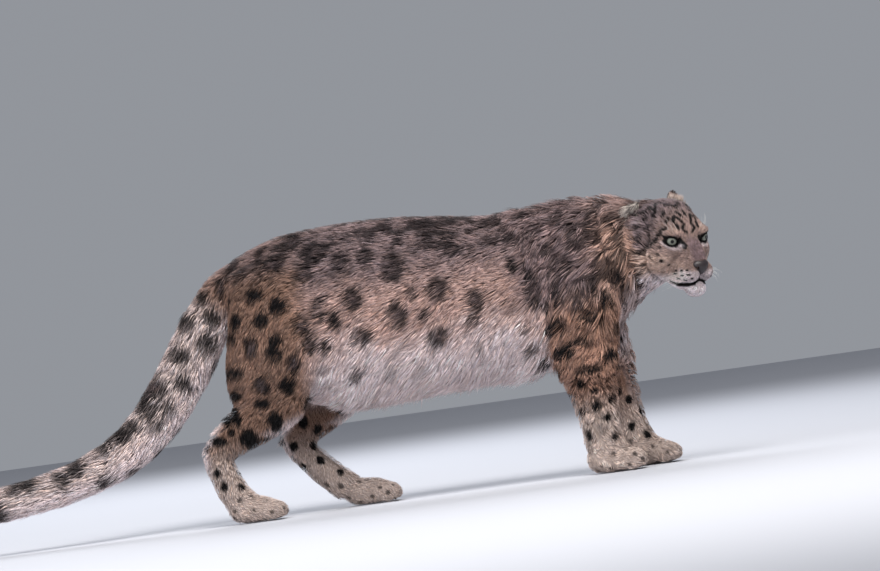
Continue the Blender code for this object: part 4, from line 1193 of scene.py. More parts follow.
class Tufts:
    """Tufts on their way to a mesh: each has a path of middles that follows the skin."""

    def __init__(self, at, normal, place, settings, random):
        places = Places(at, normal)
        keep = ~bare(places)
        self.at, self.normal, self.place = at[keep], normal[keep], place[keep]
        self.places = Places(self.at, self.normal)
        self.settings, self.random = settings, random
        count = len(self.at)
        self.length = coat_length(self.places, settings) * random.uniform(0.72, 1.22, count)
        self.width = coat_width(self.places, self.length) * random.uniform(0.8, 1.25, count)
        self.depth = coat_depth(self.places)
        shaggy = 0.6 + 0.5 * self.places.front
        sway = noise(self.at, 34, 11) * 0.42 * shaggy + noise(self.at, 90, 12) * 0.2
        self.way = turned(coat_lie(self.places), self.normal,
                          sway + random.normal(0, 0.16, count))

    def follow(self, tree, steps):
        """The tufts' middles and outward ways at each step along them."""
        count = len(self.at)
        middles, outward, under = (np.empty((count, len(steps), 3)) for _ in range(3))
        height = self.depth * self.random.uniform(0.75, 1.4, count)
        nape = ramp(self.places.x, 440, 520) * ramp(self.places.z, 490, 530) * (1 - self.places.on_head)
        crown = self.places.on_head * ramp(-self.places.head[:, 0], 5, 60)
        crown = crown * ramp(self.places.head[:, 2], 10, 30)
        ridge = ramp(self.normal[:, 2], 0.3, 0.9) * (self.places.z > 450) * (1 - self.places.on_head)
        height = height * (1 + 0.45 * nape + 0.8 * crown + 0.35 * ridge * (1 - nape))
        wave = self.length * (0.018 + 0.075 * self.places.front) * (1 - 0.8 * self.places.on_head)
        phase = 5 * noise(self.at, 26, 13)
        beside = np.cross(self.normal, self.way)
        hang = 0.20 * np.clip(0.35 - self.normal[:, 2], 0, 1) * ramp(self.length, 40, 70)
        hang *= 1 - self.places.on_tail
        for i, t in enumerate(steps):
            reach = self.at + self.way * (self.length * t)[:, None]
            if t == 0:
                surface, ways = self.at, self.normal
            else:
                surface, ways = np.empty_like(reach), np.empty_like(reach)
                find = tree.find_nearest
                for n, here in enumerate(reach.tolist()):
                    spot, way, _, _ = find(here)
                    surface[n], ways[n] = spot, way
            off = reach - surface
            far = np.linalg.norm(off, axis=1)
            limit = 0.12 * self.length
            surface = np.where((far > limit)[:, None],
                               reach - off * (limit / np.maximum(far, 1e-6))[:, None], surface)
            rise = math.sin(min(t * 1.25, 1.0) * math.pi / 2) if t else -ROOT_SINK
            middles[:, i] = surface + ways * (height * rise)[:, None]
            middles[:, i, 2] -= hang * self.length * t * t
            middles[:, i] += beside * (wave * t * np.sin(phase + 3.4 * t))[:, None]
            outward[:, i], under[:, i] = ways, surface
        self.middles, self.outward, self.under = middles, outward, under

    def gather(self):
        """Draws the tips of tufts together in clumps."""
        count = len(self.at)
        size = np.where(self.places.on_head > 0.5, 4.5, 10 + 5 * self.places.front)
        share = 1e6 / (size**2 * np.maximum(coat_density(self.places, self.settings), 1))
        leaders = np.flatnonzero(self.random.random(count) < np.clip(share, 0, 0.5))
        tree = KDTree(len(leaders))
        for n, leader in enumerate(leaders):
            tree.insert(self.at[leader], n)
        tree.balance()
        nearest = leaders[[tree.find(here)[1] for here in self.at.tolist()]]
        steps = np.linspace(0, 1, self.middles.shape[1])
        pull = 0.42 + 0.26 * self.places.front
        pull = np.where(self.places.on_head > 0.5, 0.2, pull)
        home = self.middles[nearest] + 0.25 * (self.at - self.at[nearest])[:, None]
        near = np.linalg.norm(self.at - self.at[nearest], axis=1) < 2 * size
        share = (pull * near)[:, None] * steps[None] ** 1.3
        self.middles = mix(self.middles, home, share)
        self.middles[:, :, 2] = np.maximum(self.middles[:, :, 2], 1.0)
        shades = self.random.normal(0, 0.09, count) * (1 + self.places.front)
        self.shade = np.exp(shades[nearest] + self.random.normal(0, 0.10, count))

    def mesh(self, name, chosen, steps, markings):
        """One object of the chosen tufts, widest a third of the way along."""
        shape = np.interp(steps, (0, 0.35, 0.75, 1), (0.75, 1.0, 0.62, 0.0))
        half = self.width[chosen][:, None] * shape
        return tuft_mesh(name, self.middles[chosen], self.outward[chosen], half,
                         self.colours(chosen, steps, markings), steps, self.place[chosen])

    def colours(self, chosen, steps, markings):
        """A colour for each step of the chosen tufts, from the markings under it, darkened towards each
        root as painted shade.
        """
        count, rows = len(chosen), len(steps)
        drift = self.way[chosen] * (self.length[chosen] * self.random.normal(0, 0.08, count))[:, None]
        under = self.under[chosen] + drift[:, None]
        outward = self.outward[chosen]
        colour, dark = paint(under.reshape(-1, 3), outward.reshape(-1, 3), markings)
        colour, dark = colour.reshape(count, rows, 3), dark.reshape(count, rows)
        colour = colour * self.shade[chosen][:, None, None]
        warm = self.random.normal(0, 0.03, count)
        colour = colour * np.stack([1 + warm, np.ones(count), 1 - warm], axis=1)[:, None]
        calm = np.clip(1 - ramp(self.places.z[chosen], 300, 430) + self.places.on_head[chosen], 0, 1)
        tips = np.where(self.random.random(count) < 0.3, 0.68, 1.16) * (1 - calm) + 1.08 * calm
        share = steps[None]
        # Painted shade: each tuft is half as bright at its root, for the shade deep in the coat. Its tip is
        # then made darker on some tufts and lighter on the rest, as the hairs' own bands.
        root_shade_and_tips = 0.5 + 0.5 * np.clip(share / 0.45, 0, 1)
        root_shade_and_tips = root_shade_and_tips * (1 + (tips - 1)[:, None] * np.clip((share - 0.4) / 0.6, 0, 1) * (1 - dark))
        return np.clip(colour * root_shade_and_tips[..., None], 0.002, 1)


def tuft_mesh(name, middles, outward, half, colours, steps, place):
    """One object of tufts: three sides, flat below, ending in a point, and a patch on the bake map.

    middles, outward, half and colours hold a row for each tuft and in it a value for each step."""
    count, rows = len(middles), len(steps)
    ahead = unit(middles[:, 1:] - middles[:, :-1])
    ahead = np.concatenate([ahead, ahead[:, -1:]], axis=1)
    across = unit(np.cross(outward, ahead))
    up = np.cross(ahead, across)
    half = half[:, :, None]
    ring = np.stack([middles + across * half, middles + up * half * 0.55,
                     middles - across * half], axis=2)
    points = np.concatenate([ring[:, :-1].reshape(count, -1, 3), middles[:, -1:]], axis=1)
    each = points.shape[1]
    faces = [(2, 1, 0)]
    for row in range(rows - 2):
        for j in range(3):
            a, b = 3 * row + j, 3 * row + (j + 1) % 3
            faces += [(a, b, b + 3), (a, b + 3, a + 3)]
    last = 3 * (rows - 2)
    faces += [(last + j, last + (j + 1) % 3, each - 1) for j in range(3)]
    index = (np.array(faces)[None] + (np.arange(count) * each)[:, None, None]).reshape(-1, 3)
    made = mesh_from(name, points.reshape(-1, 3), index)
    colours = np.concatenate([np.repeat(colours[:, :-1], 3, axis=1), colours[:, -1:]], axis=1)
    colour_points(made.data, colours.reshape(-1, 3))
    along = np.append(np.repeat(steps[:-1], 3), 1.0)
    aside = np.append(np.tile((0.0, 0.5, 1.0), rows - 1), 0.5)
    patch = np.stack([aside, along], axis=1) * PATCH
    spread = (place[:, None] + patch[None]).reshape(-1, 2)
    layer = made.data.uv_layers.new(name="OFBake")
    layer.data.foreach_set("uv", spread[index.ravel()].astype(np.float32).ravel())
    return made


def mesh_from(name, points, triangles):
    """An object from arrays of points, in millimetres, and triangles."""
    mesh = bpy.data.meshes.new(name)
    mesh.vertices.add(len(points))
    mesh.vertices.foreach_set("co", (points * MM).astype(np.float32).ravel())
    mesh.loops.add(triangles.size)
    mesh.loops.foreach_set("vertex_index", triangles.astype(np.int32).ravel())
    mesh.polygons.add(len(triangles))
    mesh.polygons.foreach_set("loop_start", np.arange(0, triangles.size, 3, dtype=np.int32))
    mesh.update(calc_edges=True)
    mesh.shade_smooth()
    return add_object(name, mesh)


COAT_PIECES = {
    "coat_face": lambda p, k: (k == "head") & (p.nose < 84),
    "coat_head": lambda p, k: (k == "head") & (p.nose >= 84),
    "coat_neck_R": lambda p, k: ((k == "neck") | (k == "shoulder")) & (p.x > 405) & (p.y < 0),
    "coat_neck_L": lambda p, k: ((k == "neck") | (k == "shoulder")) & (p.x > 405) & (p.y >= 0),
    "coat_shoulders": lambda p, k: ((k == "neck") | (k == "shoulder")) & (p.x <= 405),
    "coat_back": lambda p, k: k == "back",
    "coat_flank_R": lambda p, k: (k == "flank") & (p.y < 0),
    "coat_flank_L": lambda p, k: (k == "flank") & (p.y >= 0),
    "coat_belly": lambda p, k: k == "belly",
    "coat_thigh_R": lambda p, k: (k == "thigh") & (p.y < 0),
    "coat_thigh_L": lambda p, k: (k == "thigh") & (p.y >= 0),
    "coat_legs": lambda p, k: k == "leg",
    "coat_paws": lambda p, k: k == "paw",
    "coat_tail_upper": lambda p, k: (k == "tail") & (p.along < 0.5),
    "coat_tail_lower": lambda p, k: (k == "tail") & (p.along >= 0.5),
}
LONG_COATS = ("coat_belly", "coat_neck_R", "coat_neck_L", "coat_shoulders")
MOST_TRIANGLES = 200_000
FOUND = {}


# Materials


def new_material(name, roughness, specular=0.5):
    found = bpy.data.materials.new(name)
    found.use_nodes = True
    shader = found.node_tree.nodes["Principled BSDF"]
    shader.inputs["Roughness"].default_value = roughness
    shader.inputs["Specular IOR Level"].default_value = specular
    return found, found.node_tree.nodes, found.node_tree.links, shader


def add_bump(nodes, links, shader, scale, strength, distance, detail=3.0):
    """Fine relief from noise over the object's own coordinates."""
    coordinates = nodes.new("ShaderNodeTexCoord")
    texture = nodes.new("ShaderNodeTexNoise")
    texture.inputs["Scale"].default_value = scale
    texture.inputs["Detail"].default_value = detail
    bump = nodes.new("ShaderNodeBump")
    bump.inputs["Strength"].default_value = strength
    bump.inputs["Distance"].default_value = distance
    links.new(coordinates.outputs["Object"], texture.inputs["Vector"])
    links.new(texture.outputs["Fac"], bump.inputs["Height"])
    links.new(bump.outputs["Normal"], shader.inputs["Normal"])
    return texture


def coat_material(name, roughness, bumpy):
    found = bpy.data.materials.get(name)
    if found:
        return found
    found, nodes, links, shader = new_material(name, roughness, 0.12)
    colour = nodes.new("ShaderNodeAttribute")
    colour.attribute_name = "coat_colour"
    links.new(colour.outputs["Color"], shader.inputs["Base Color"])
    if bumpy:
        add_bump(nodes, links, shader, 900, 0.5, 0.0015)
    else:
        shader.inputs["Sheen Weight"].default_value = 0.04
        shader.inputs["Sheen Roughness"].default_value = 0.4
    return found


def dress(made, material):
    made.data.materials.clear()
    made.data.materials.append(material)
    return made


def stand(made, slot, *nodes):
    """Moves a finished piece from the animal's frame to the row's, and ties it to the frame."""
    made.data.transform(Matrix.Translation(shift()))
    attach(made, "root")
    if nodes:
        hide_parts(*nodes)
    return made


def shift():
    """From the animal's own frame to the row's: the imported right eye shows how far."""
    low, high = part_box("eye_R")
    return (low + high) / 2 - head_place() @ (Vector((-EYE_BACK, EYE_SIDE, 0)) * MM)


# Settings a user would change


class CoatSettings(bpy.types.PropertyGroup):
    length: FloatProperty(name="Length", description="Length of the tufts against the real coat's",
                          default=1.0, min=0.3, max=1.6, subtype="FACTOR")
    density: FloatProperty(name="Density", description="Share of the full number of tufts",
                           default=1.0, min=0.05, max=1.2, subtype="FACTOR")
    roughness: FloatProperty(name="Roughness", description="How dull the hairs are",
                             default=0.62, min=0.2, max=1.0, subtype="FACTOR")


class EyeSettings(bpy.types.PropertyGroup):
    iris: FloatVectorProperty(name="Iris", description="Pale grey-green of the iris",
                              default=(0.215, 0.226, 0.186), min=0, max=1, subtype="COLOR")
    pupil: FloatProperty(name="Pupil", description="Radius of the round pupil",
                         default=0.0034, min=0.001, max=0.008, unit="LENGTH")


class WhiskerSettings(bpy.types.PropertyGroup):
    length: FloatProperty(name="Length", description="Length of the longest whiskers",
                          default=0.066, min=0.02, max=0.12, unit="LENGTH")
    colour: FloatVectorProperty(name="Colour", description="White of the whiskers",
                                default=(0.86, 0.84, 0.80), min=0, max=1, subtype="COLOR")


class StageSettings(bpy.types.PropertyGroup):
    floor: FloatVectorProperty(name="Floor", description="Colour of the plain floor",
                               default=(0.46, 0.47, 0.51), min=0, max=1, subtype="COLOR")
    light: FloatProperty(name="Light", description="Strength of the key light",
                         default=330.0, min=0, max=2000, subtype="POWER", unit="POWER")


# Operators


class SNOWLEOPARD_OT_skin(bpy.types.Operator):
    """Builds the one skin that takes the place of the solids of flesh"""

    bl_idname = "snow_leopard.skin"
    bl_label = "Skin"

    def execute(self, context):
        made = build_skin()
        unwrap(made)
        markings = FOUND["markings"] = Markings(made)
        colours, _ = paint(read_points(made.data), read_normals(made.data), markings)
        # The skin is painted in its coat's colours darkened, as painted shade under the tufts.
        colour_points(made.data, colours * SKIN_PAINTED_SHADE)
        dress(made, coat_material("skin under fur", 0.85, True))
        stand(made, "coat", *FLESH_NODES)
        return {"FINISHED"}


class SNOWLEOPARD_OT_coat(bpy.types.Operator):
    """Grows the coat as pieces of fine mesh tufts over the skin"""

    bl_idname = "snow_leopard.coat"
    bl_label = "Coat"

    def execute(self, context):
        settings = context.scene.snow_leopard_coat
        skin = bpy.data.objects.get("skin")
        if skin is None:
            raise RuntimeError("the coat needs the skin: run snow_leopard.skin first")
        home = Matrix.Translation(-shift())
        skin.data.transform(home)
        random = np.random.default_rng(SEED)
        tree, markings = surface_of(skin), FOUND.get("markings") or Markings(skin)
        roots = scatter(skin, lambda at, way: coat_density(Places(at, way), settings), random)
        tufts = Tufts(*roots, settings, random)
        kinds = tufts.places.kind()
        material = coat_material("fur tufts", settings.roughness, False)
        for steps, long_hair in ((LONG_STEPS, True), (SHORT_STEPS, False)):
            tufts.follow(tree, steps)
            tufts.gather()
            for name, belongs in COAT_PIECES.items():
                if (name in LONG_COATS) != long_hair:
                    continue
                chosen = np.flatnonzero(belongs(tufts.places, kinds))
                made = tufts.mesh(name, chosen, steps, markings)
                count = len(made.data.polygons)
                if count >= MOST_TRIANGLES:
                    raise RuntimeError(f"{name} has {count} triangles")
                stand(dress(made, material), "coat")
        skin.data.transform(home.inverted())
        return {"FINISHED"}


class SNOWLEOPARD_OT_eyes(bpy.types.Operator):
    """Builds both eyeballs with iris, pupil and a wet surface"""

    bl_idname = "snow_leopard.eyes"
    bl_label = "Eyes"

    def execute(self, context):
        settings = context.scene.snow_leopard_eyes
        material = eye_material(settings)
        for name, side in (("eye_R", 1), ("eye_L", -1)):
            made = dress(eyeball("eyeball" + name[-2:]), material)
            middle = head_place() @ (Vector((-EYE_BACK, side * EYE_SIDE, 0)) * MM)
            look = (head_place().to_3x3() @ (eye_turn(side).to_3x3() @ Vector((1, 0, 0)))).normalized()
            turn = look.to_track_quat("X", "Z").to_matrix().to_4x4()
            made.matrix_world = Matrix.Translation(middle + shift()) @ turn
            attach(made, "root")
            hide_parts(name)
        return {"FINISHED"}


def eyeball(name, rings=36, segments=48):
    """An eyeball that looks along x, with the low dome of its cornea."""
    angles = np.linspace(0.02, math.pi - 0.02, rings)
    rows = []
    for angle in angles:
        dome = 1 + 0.045 * (1 - ramp(angle, 0.45, 0.95))
        radius = (EYE_RADIUS - 0.1) * dome
        turn = 2 * math.pi * np.arange(segments) / segments
        wide = radius * math.sin(angle)
        rows.append(np.stack([np.full(segments, radius * math.cos(angle)), wide * np.cos(turn),
                              wide * np.sin(turn)], axis=1))
    made = tube(name, rows)
    made.data.shade_smooth()
    return made


def eye_material(settings):
    """Pupil, iris with its fibres and dark edge, and white, by the distance from the eye's axis."""
    found, nodes, links, shader = new_material("wet eye", 0.1, 0.16)
    shader.inputs["Coat Weight"].default_value = 0.16
    shader.inputs["Coat Roughness"].default_value = 0.03
    coordinates = nodes.new("ShaderNodeTexCoord")
    split = nodes.new("ShaderNodeSeparateXYZ")
    links.new(coordinates.outputs["Object"], split.inputs[0])
    across = nodes.new("ShaderNodeCombineXYZ")
    links.new(split.outputs["Y"], across.inputs["Y"])
    links.new(split.outputs["Z"], across.inputs["Z"])
    length = nodes.new("ShaderNodeVectorMath")
    length.operation = "LENGTH"
    links.new(across.outputs[0], length.inputs[0])
    share = nodes.new("ShaderNodeMath")
    share.operation = "DIVIDE"
    share.inputs[1].default_value = EYE_RADIUS * MM
    links.new(length.outputs["Value"], share.inputs[0])
    way = nodes.new("ShaderNodeVectorMath")
    way.operation = "NORMALIZE"
    links.new(across.outputs[0], way.inputs[0])
    fibres = nodes.new("ShaderNodeTexNoise")
    fibres.inputs["Scale"].default_value = 9
    fibres.inputs["Detail"].default_value = 4
    links.new(way.outputs[0], fibres.inputs["Vector"])
    bands = nodes.new("ShaderNodeValToRGB")
    pupil = settings.pupil / (EYE_RADIUS * MM)
    iris = tuple(settings.iris)
    stops = [
        (0.0, (0.003, 0.003, 0.003)),
        (pupil, (0.003, 0.003, 0.003)),
        (pupil + 0.035, tuple(0.55 * c for c in iris)),
        (pupil + 0.14, iris),
        (0.60, tuple(0.92 * c for c in iris)),
        (0.70, tuple(0.34 * c for c in iris)),
        (0.76, (0.02, 0.017, 0.016)),
        (1.0, (0.10, 0.085, 0.08)),
    ]
    found_stops = bands.color_ramp.elements
    found_stops.remove(found_stops[1])
    found_stops[0].color = (*stops[0][1], 1)
    for at, colour in stops[1:]:
        found_stops.new(at).color = (*colour, 1)
    links.new(share.outputs[0], bands.inputs[0])
    shade = nodes.new("ShaderNodeMapRange")
    shade.inputs["From Min"].default_value = 0.3
    shade.inputs["From Max"].default_value = 0.7
    shade.inputs["To Min"].default_value = 0.62
    shade.inputs["To Max"].default_value = 1.25
    links.new(fibres.outputs["Fac"], shade.inputs["Value"])
    scaled = nodes.new("ShaderNodeVectorMath")
    scaled.operation = "SCALE"
    links.new(bands.outputs["Color"], scaled.inputs[0])
    links.new(shade.outputs["Result"], scaled.inputs["Scale"])
    links.new(scaled.outputs[0], shader.inputs["Base Color"])
    return found


class SNOWLEOPARD_OT_nose(bpy.types.Operator):
    """Builds the nose leather with its nostrils"""

    bl_idname = "snow_leopard.nose"
    bl_label = "Nose leather"

    def execute(self, context):
        bottom, top = np.array(NOSE_BOTTOM, float), np.array(NOSE_TOP, float)
        rings = []
        for share, width, depth in smooth_rows(NOSE_ROWS, 4):
            middle = bottom + (top - bottom) * share
            rings.append(oval(middle, (0, 1, 0), (1, 0, 0), width - 0.3, depth - 0.3, 8, 40))
        made = tube("nose_leather", rings)
        for side in (1, -1):
            start = bottom + (top - bottom) * NOSTRIL["rise"]
            bore = [start + (NOSTRIL["length"] * t, side * (NOSTRIL["side"] + 5 * t), t)
                    for t in (0, 0.5, 1)]
            boolean(made, cord("nostril", bore, NOSTRIL["radius"], 16), "DIFFERENCE")
            slit = [start + (NOSTRIL["length"] * 0.55, side * (NOSTRIL["side"] + a), b)
                    for a, b in ((2, -1), (6, -3), (10, -3))]
            boolean(made, cord("slit", slit, 2.0, 12), "DIFFERENCE")
        sort_faces(made)
        made.data.transform(head_place())
        made.data.flip_normals()
        made.data.shade_smooth()
        made.data.set_sharp_from_angle(angle=math.radians(50))
        material, nodes, links, shader = new_material("damp nose leather", 0.38, 0.5)
        texture = add_bump(nodes, links, shader, 1500, 0.4, 0.0008, 2.0)
        tint = nodes.new("ShaderNodeMix")
        tint.data_type = "RGBA"
        tint.inputs["A"].default_value = (0.008, 0.006, 0.007, 1)
        tint.inputs["B"].default_value = (0.030, 0.020, 0.022, 1)
        links.new(texture.outputs["Fac"], tint.inputs["Factor"])
        links.new(tint.outputs["Result"], shader.inputs["Base Color"])
        stand(dress(made, material), "nose leather", "nose")
        return {"FINISHED"}


class SNOWLEOPARD_OT_ears(bpy.types.Operator):
    """Builds both ears as cups with short fur behind and long pale hairs inside"""

    bl_idname = "snow_leopard.ears"
    bl_label = "Ears"

    def execute(self, context):
        settings = context.scene.snow_leopard_coat
        random = np.random.default_rng(SEED + 1)
        for name, ear_shape in EARS.items():
            made = ear_cup("cup_" + name, **ear_shape)
            unwrap(made)
            points = read_points(made.data)
            colours = ear_colour(points, read_normals(made.data), ear_shape)
            colour_points(made.data, colours)
            dress(made, coat_material("skin under fur", 0.85, True))
            hairs = ear_hairs("coat_" + name, made, ear_shape, settings, random)
            dress(hairs, coat_material("fur tufts", settings.roughness, False))
            stand(made, "coat", name)
            stand(hairs, "coat")
        return {"FINISHED"}


def ear_axes(root, tip, opening):
    """The ear's root and its up, out and across, in the head's frame."""
    up = Vector(tip).normalized()
    out = Vector(opening).normalized()
    out = (out - up * out.dot(up)).normalized()
    return np.array(root, float), np.array(up), np.array(out), np.array(up.cross(out))


def ear_cup(name, root, tip, opening, rows=16, columns=21):
    """A rounded cup: a bent plate whose rim runs from one side of the root over the tip."""
    root, up, out, across = ear_axes(root, tip, opening)
    width, height, depth, wall = (EAR_SIZE[k] for k in ("width", "height", "depth", "wall"))
    layers = []
    for layer in (-0.5, 0.5):
        points = []
        for i in range(rows):
            t = i / (rows - 1)
            half = width * math.sqrt(max(0.0, 1 - (0.15 + 0.85 * t) ** 2.6)) if t < 1 else 0.12 * width
            for j in range(columns):
                s = 2 * j / (columns - 1) - 1
                bowl = depth * (s * s - 1) * (1 - 0.55 * t) * (half / width)
                points.append(root + up * height * (t * 1.1 - 0.12) + across * s * half * 0.98
                              + out * (bowl + (wall - 1.4) * layer))
        layers += points
    count = rows * columns
    faces = []
    for i in range(rows - 1):
        for j in range(columns - 1):
            a = i * columns + j
            quad = (a, a + 1, a + columns + 1, a + columns)
            faces += [quad, tuple(count + k for k in reversed(quad))]
    rim = ([i * columns for i in range(rows)]
           + [(rows - 1) * columns + j for j in range(1, columns)]
           + [i * columns + columns - 1 for i in range(rows - 2, -1, -1)]
           + list(range(columns - 2, 0, -1)))
    for a, b in zip(rim, rim[1:] + rim[:1]):
        faces.append((a, b, b + count, a + count))
    made = object_from(name, from_head(np.array(layers)) * MM, faces)
    made.data.shade_smooth()
    return made


def ear_colour(points, normals, ear_shape):
    """Dark behind with a pale middle, pale pink-grey inside, with painted shade deep in the cup near the
    root.
    """
    root, up, out, across = ear_axes(**ear_shape)
    local = to_head(points) - root
    rise, aside = local @ up / EAR_SIZE["height"], np.abs(local @ across) / EAR_SIZE["width"]
    inside = ramp(to_head_way(normals) @ out, -0.1, 0.4)
    behind = mix(np.broadcast_to(straight((66, 58, 57)), points.shape), straight((170, 156, 146)),
                 (1 - ramp(aside, 0.25, 0.5)) * (1 - ramp(np.abs(rise - 0.5), 0.12, 0.3)))
    rim = ramp(rise, 0.8, 0.95)
    # Painted shade: the inside darkens towards the root, deep in the cup.
    within = mix(np.broadcast_to(straight((150, 128, 120)), points.shape), straight((48, 40, 40)),
                 1 - ramp(rise, 0.15, 0.45))
    return mix(mix(behind, within, inside), straight((58, 50, 50)), rim)


def ear_hairs(name, cup, ear_shape, settings, random):
    """Short tufts over the back and rim of the cup and long pale ones across its inside."""
    root, up, out, across = ear_axes(**ear_shape)
    density = EAR_DENSITY * settings.density
    at, normal, place = scatter(cup, lambda middles, ways: density, random)
    head_normal = to_head_way(normal)
    inside = ramp(head_normal @ out, 0.0, 0.4)
    rise = (to_head(at) - root) @ up / EAR_SIZE["height"]
    size = len(at)
    length = (6 + 20 * inside * (1 - ramp(rise, 0.3, 0.75))) * random.uniform(0.7, 1.2, size)
    length = length * (1 - 0.45 * ramp(rise, 0.7, 0.95)) * settings.length
    way = unit(up[None] + 0.35 * out[None] * inside[:, None]
               - 0.6 * across[None] * (inside * np.sign((to_head(at) - root) @ across))[:, None])
    way = from_head_way(way) + random.normal(0, 0.16, (size, 3))
    way = unit(way - 0.75 * normal * dot(way, normal)[:, None] + 0.25 * normal)
    height = (2.0 + 2.5 * inside)[:, None]
    middles = np.stack([at - normal * 0.4, at + way * length[:, None] * 0.5 + normal * height * 0.5,
                        at + way * length[:, None] + normal * height * 0.4], axis=1)
    colour = ear_colour(at, normal, ear_shape)
    pale = straight((214, 202, 192))
    streak = 0.35 + 0.65 * ramp(noise(at, 5, 21), -0.5, 0.3)
    colour = mix(colour, pale, EAR_PALE[name] * inside * streak * (1 - ramp(rise, 0.45, 0.75)))
    colour = colour * np.exp(random.normal(0, 0.12, size))[:, None]
    half = (0.45 + 0.018 * length)[:, None] * np.array((0.8, 0.9, 0.0))
    # Painted shade: each hair is darkened towards its root; its tip is a little lighter.
    colours = np.clip(colour[:, None] * np.array((0.7, 1, 1.1))[None, :, None], 0, 1)
    return tuft_mesh(name, middles, normal[:, None], half, colours, SHORT_STEPS, place)


# Whiskers: rows of the pad, as up, first and last angle from straight ahead, and how many.
WHISKER_ROWS = [(-57, 34, 52, 3), (-62, 30, 56, 4), (-68, 32, 54, 4)]
BROW_HAIRS = [(2, 30, 21, 26), (-2, 38, 20, 32), (-8, 44, 16, 24)]


class SNOWLEOPARD_OT_whiskers(bpy.types.Operator):
    """Builds the whiskers of the muzzle and the long hairs over the eyes"""

    bl_idname = "snow_leopard.whiskers"
    bl_label = "Whiskers"

    def execute(self, context):
        settings = context.scene.snow_leopard_whiskers
        random = np.random.default_rng(SEED + 2)
        longest = settings.length / MM
        made = []
        for side in (1, -1):
            for row, (up, first, last, count) in enumerate(WHISKER_ROWS):
                for i in range(count):
                    angle = math.radians(first + (last - first) * i / (count - 1))
                    way = np.array((math.cos(angle), side * math.sin(angle), 0))
                    start = skin_point((10, 0, up), way)
                    length = longest * random.uniform(0.7, 1.0) * (1.05 - 0.09 * row)
                    out = unit(np.array((-0.35 - 0.25 * i / count, side * 1.0, -0.16 - 0.12 * row)))
                    droop = np.array((-0.30, 0, -0.24))
                    line = [start - way * 1.0 + out * length * t + droop * length * t * t
                            for t in (0, 0.3, 0.65, 1)]
                    made.append(cord("whisker", line, 0.24, 5, 3, taper=0.16))
            for forward, aside, up, length in BROW_HAIRS:
                start = settle([(forward, side * aside, up)])[0]
                out = unit(np.array((0.1, side * 0.45, 1.0)))
                line = [start + out * length * t + np.array((-0.5, 0, -0.1)) * length * t * t
                        for t in (0, 0.5, 1)]
                made.append(cord("brow hair", line, 0.2, 5, 3, taper=0.16))
        whole = join("whiskers", made)
        whole.data.transform(head_place())
        whole.data.flip_normals()
        whole.data.shade_smooth()
        material, _, _, shader = new_material("whisker", 0.35, 0.4)
        shader.inputs["Base Color"].default_value = (*settings.colour, 1)
        stand(dress(whole, material), "coat")
        return {"FINISHED"}


class SNOWLEOPARD_OT_stage(bpy.types.Operator):
    """Lays the plain floor and sets the soft lights and the camera"""

    bl_idname = "snow_leopard.stage"
    bl_label = "Stage"

    def execute(self, context):
        settings = context.scene.snow_leopard_stage
        lay_floor(settings)
        for name, place, size, share, warmth in LIGHTS:
            add_light(name, place, size, settings.light * share, warmth)
        sky = bpy.data.worlds.new("studio")
        context.scene.world = sky
        sky.use_nodes = True
        background = sky.node_tree.nodes["Background"]
        background.inputs["Color"].default_value = SKY_COLOUR
        background.inputs["Strength"].default_value = SKY_STRENGTH
        context.scene.view_settings.view_transform = "Standard"
        place_camera(context.scene)
        return {"FINISHED"}


SKY_COLOUR, SKY_STRENGTH = (0.80, 0.84, 0.92, 1), 0.36
SENSOR, FARTHEST = 36, 100
LIGHTS_AIM = (0, 0, 0.35)
# The lights: name, place, size, share of the key light's strength, and colour.
LIGHTS = [
    ("key", (1.2, -2.8, 4.2), 3.0, 1.0, (1.0, 0.97, 0.93)),
    ("fill", (-3.0, -3.2, 2.0), 3.6, 0.35, (0.92, 0.95, 1.0)),
    ("rim", (-0.5, 3.4, 3.2), 3.0, 0.55, (0.95, 0.97, 1.0)),
]


def lay_floor(settings):
    made = object_from("floor", [(-9, -9, 0), (9, -9, 0), (9, 9, 0), (-9, 9, 0)], [(0, 1, 2, 3)])
    material, _, _, shader = new_material("plain floor", 0.9, 0.1)
    shader.inputs["Base Color"].default_value = (*settings.floor, 1)
    dress(made, material)


def add_light(name, place, size, power, colour):
    lamp = bpy.data.lights.new(name, "AREA")
    lamp.energy, lamp.size, lamp.color = power, size, colour
    made = bpy.data.objects.new(name, lamp)
    bpy.context.scene.collection.objects.link(made)
    made.location = place
    made.rotation_euler = (Vector(LIGHTS_AIM) - Vector(place)).to_track_quat("-Z", "Y").to_euler()


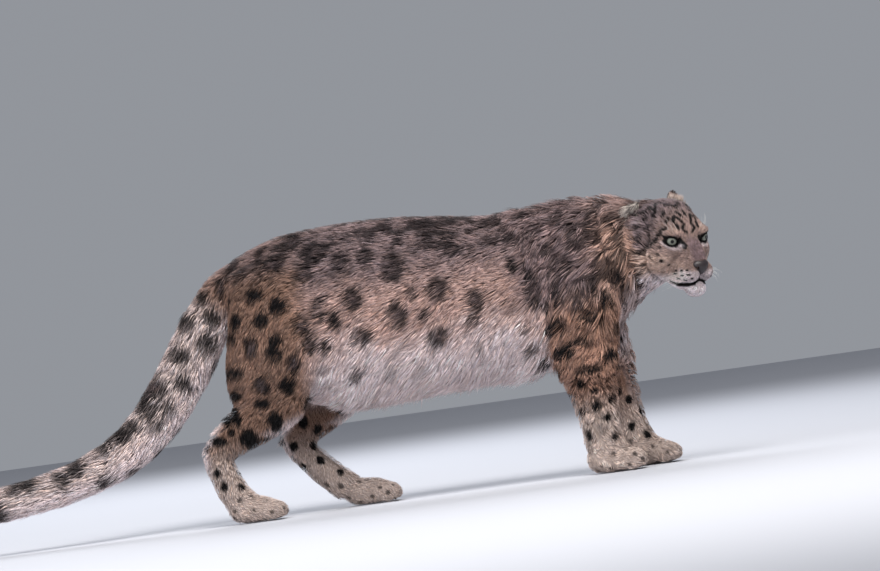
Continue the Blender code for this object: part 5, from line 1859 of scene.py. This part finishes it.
def place_camera(scene):
    """Looks along +Y, level with the middle of the picture and tilted as the ground in it."""
    lens = bpy.data.cameras.new("camera")
    made = bpy.data.objects.new("camera", lens)
    scene.collection.objects.link(made)
    x, z = photo_point(PHOTO_SIZE[0] / 2, PHOTO_SIZE[1] / 2)
    right = Vector((math.cos(SLOPE), 0, -math.sin(SLOPE)))
    up = Vector((math.sin(SLOPE), 0, math.cos(SLOPE)))
    turn = Matrix((right, up, Vector((0, -1, 0)))).transposed().to_4x4()
    at = Vector((x * MM, -CAMERA_DISTANCE, z * MM)) + shift()
    made.matrix_world = Matrix.Translation(at) @ turn
    lens.sensor_width = SENSOR
    lens.lens = SENSOR * CAMERA_DISTANCE / (PHOTO_SIZE[0] * PIXEL * MM)
    lens.clip_end = FARTHEST
    scene.camera = made


class SNOWLEOPARD_PT_panel(bpy.types.Panel):
    """Lists the steps and their settings"""

    bl_idname = "SNOWLEOPARD_PT_panel"
    bl_label = "Snow leopard"
    bl_space_type = "VIEW_3D"
    bl_region_type = "UI"
    bl_category = "Snow leopard"

    def draw(self, context):
        scene, layout = context.scene, self.layout
        for name, fields in PANEL_ROWS.items():
            column = layout.column(align=True)
            column.operator(f"snow_leopard.{name}")
            group, properties = fields
            for field in properties:
                column.prop(getattr(scene, group), field)


PANEL_ROWS = {
    "skin": ("snow_leopard_coat", ()),
    "coat": ("snow_leopard_coat", ("length", "density", "roughness")),
    "eyes": ("snow_leopard_eyes", ("iris", "pupil")),
    "nose": ("snow_leopard_coat", ()),
    "ears": ("snow_leopard_coat", ()),
    "whiskers": ("snow_leopard_whiskers", ("length", "colour")),
    "stage": ("snow_leopard_stage", ("floor", "light")),
}
GROUPS = {
    "snow_leopard_coat": CoatSettings,
    "snow_leopard_eyes": EyeSettings,
    "snow_leopard_whiskers": WhiskerSettings,
    "snow_leopard_stage": StageSettings,
}
CLASSES = [
    *GROUPS.values(),
    SNOWLEOPARD_OT_skin,
    SNOWLEOPARD_OT_coat,
    SNOWLEOPARD_OT_eyes,
    SNOWLEOPARD_OT_nose,
    SNOWLEOPARD_OT_ears,
    SNOWLEOPARD_OT_whiskers,
    SNOWLEOPARD_OT_stage,
    SNOWLEOPARD_PT_panel,
]


def register():
    for each in CLASSES:
        bpy.utils.register_class(each)
    for name, group in GROUPS.items():
        setattr(bpy.types.Scene, name, PointerProperty(type=group))


def unregister():
    for name in GROUPS:
        delattr(bpy.types.Scene, name)
    for each in reversed(CLASSES):
        bpy.utils.unregister_class(each)


def main():
    register()
    for name in PANEL_ROWS:
        getattr(bpy.ops.snow_leopard, name)()


if __name__ == "__main__":
    main()
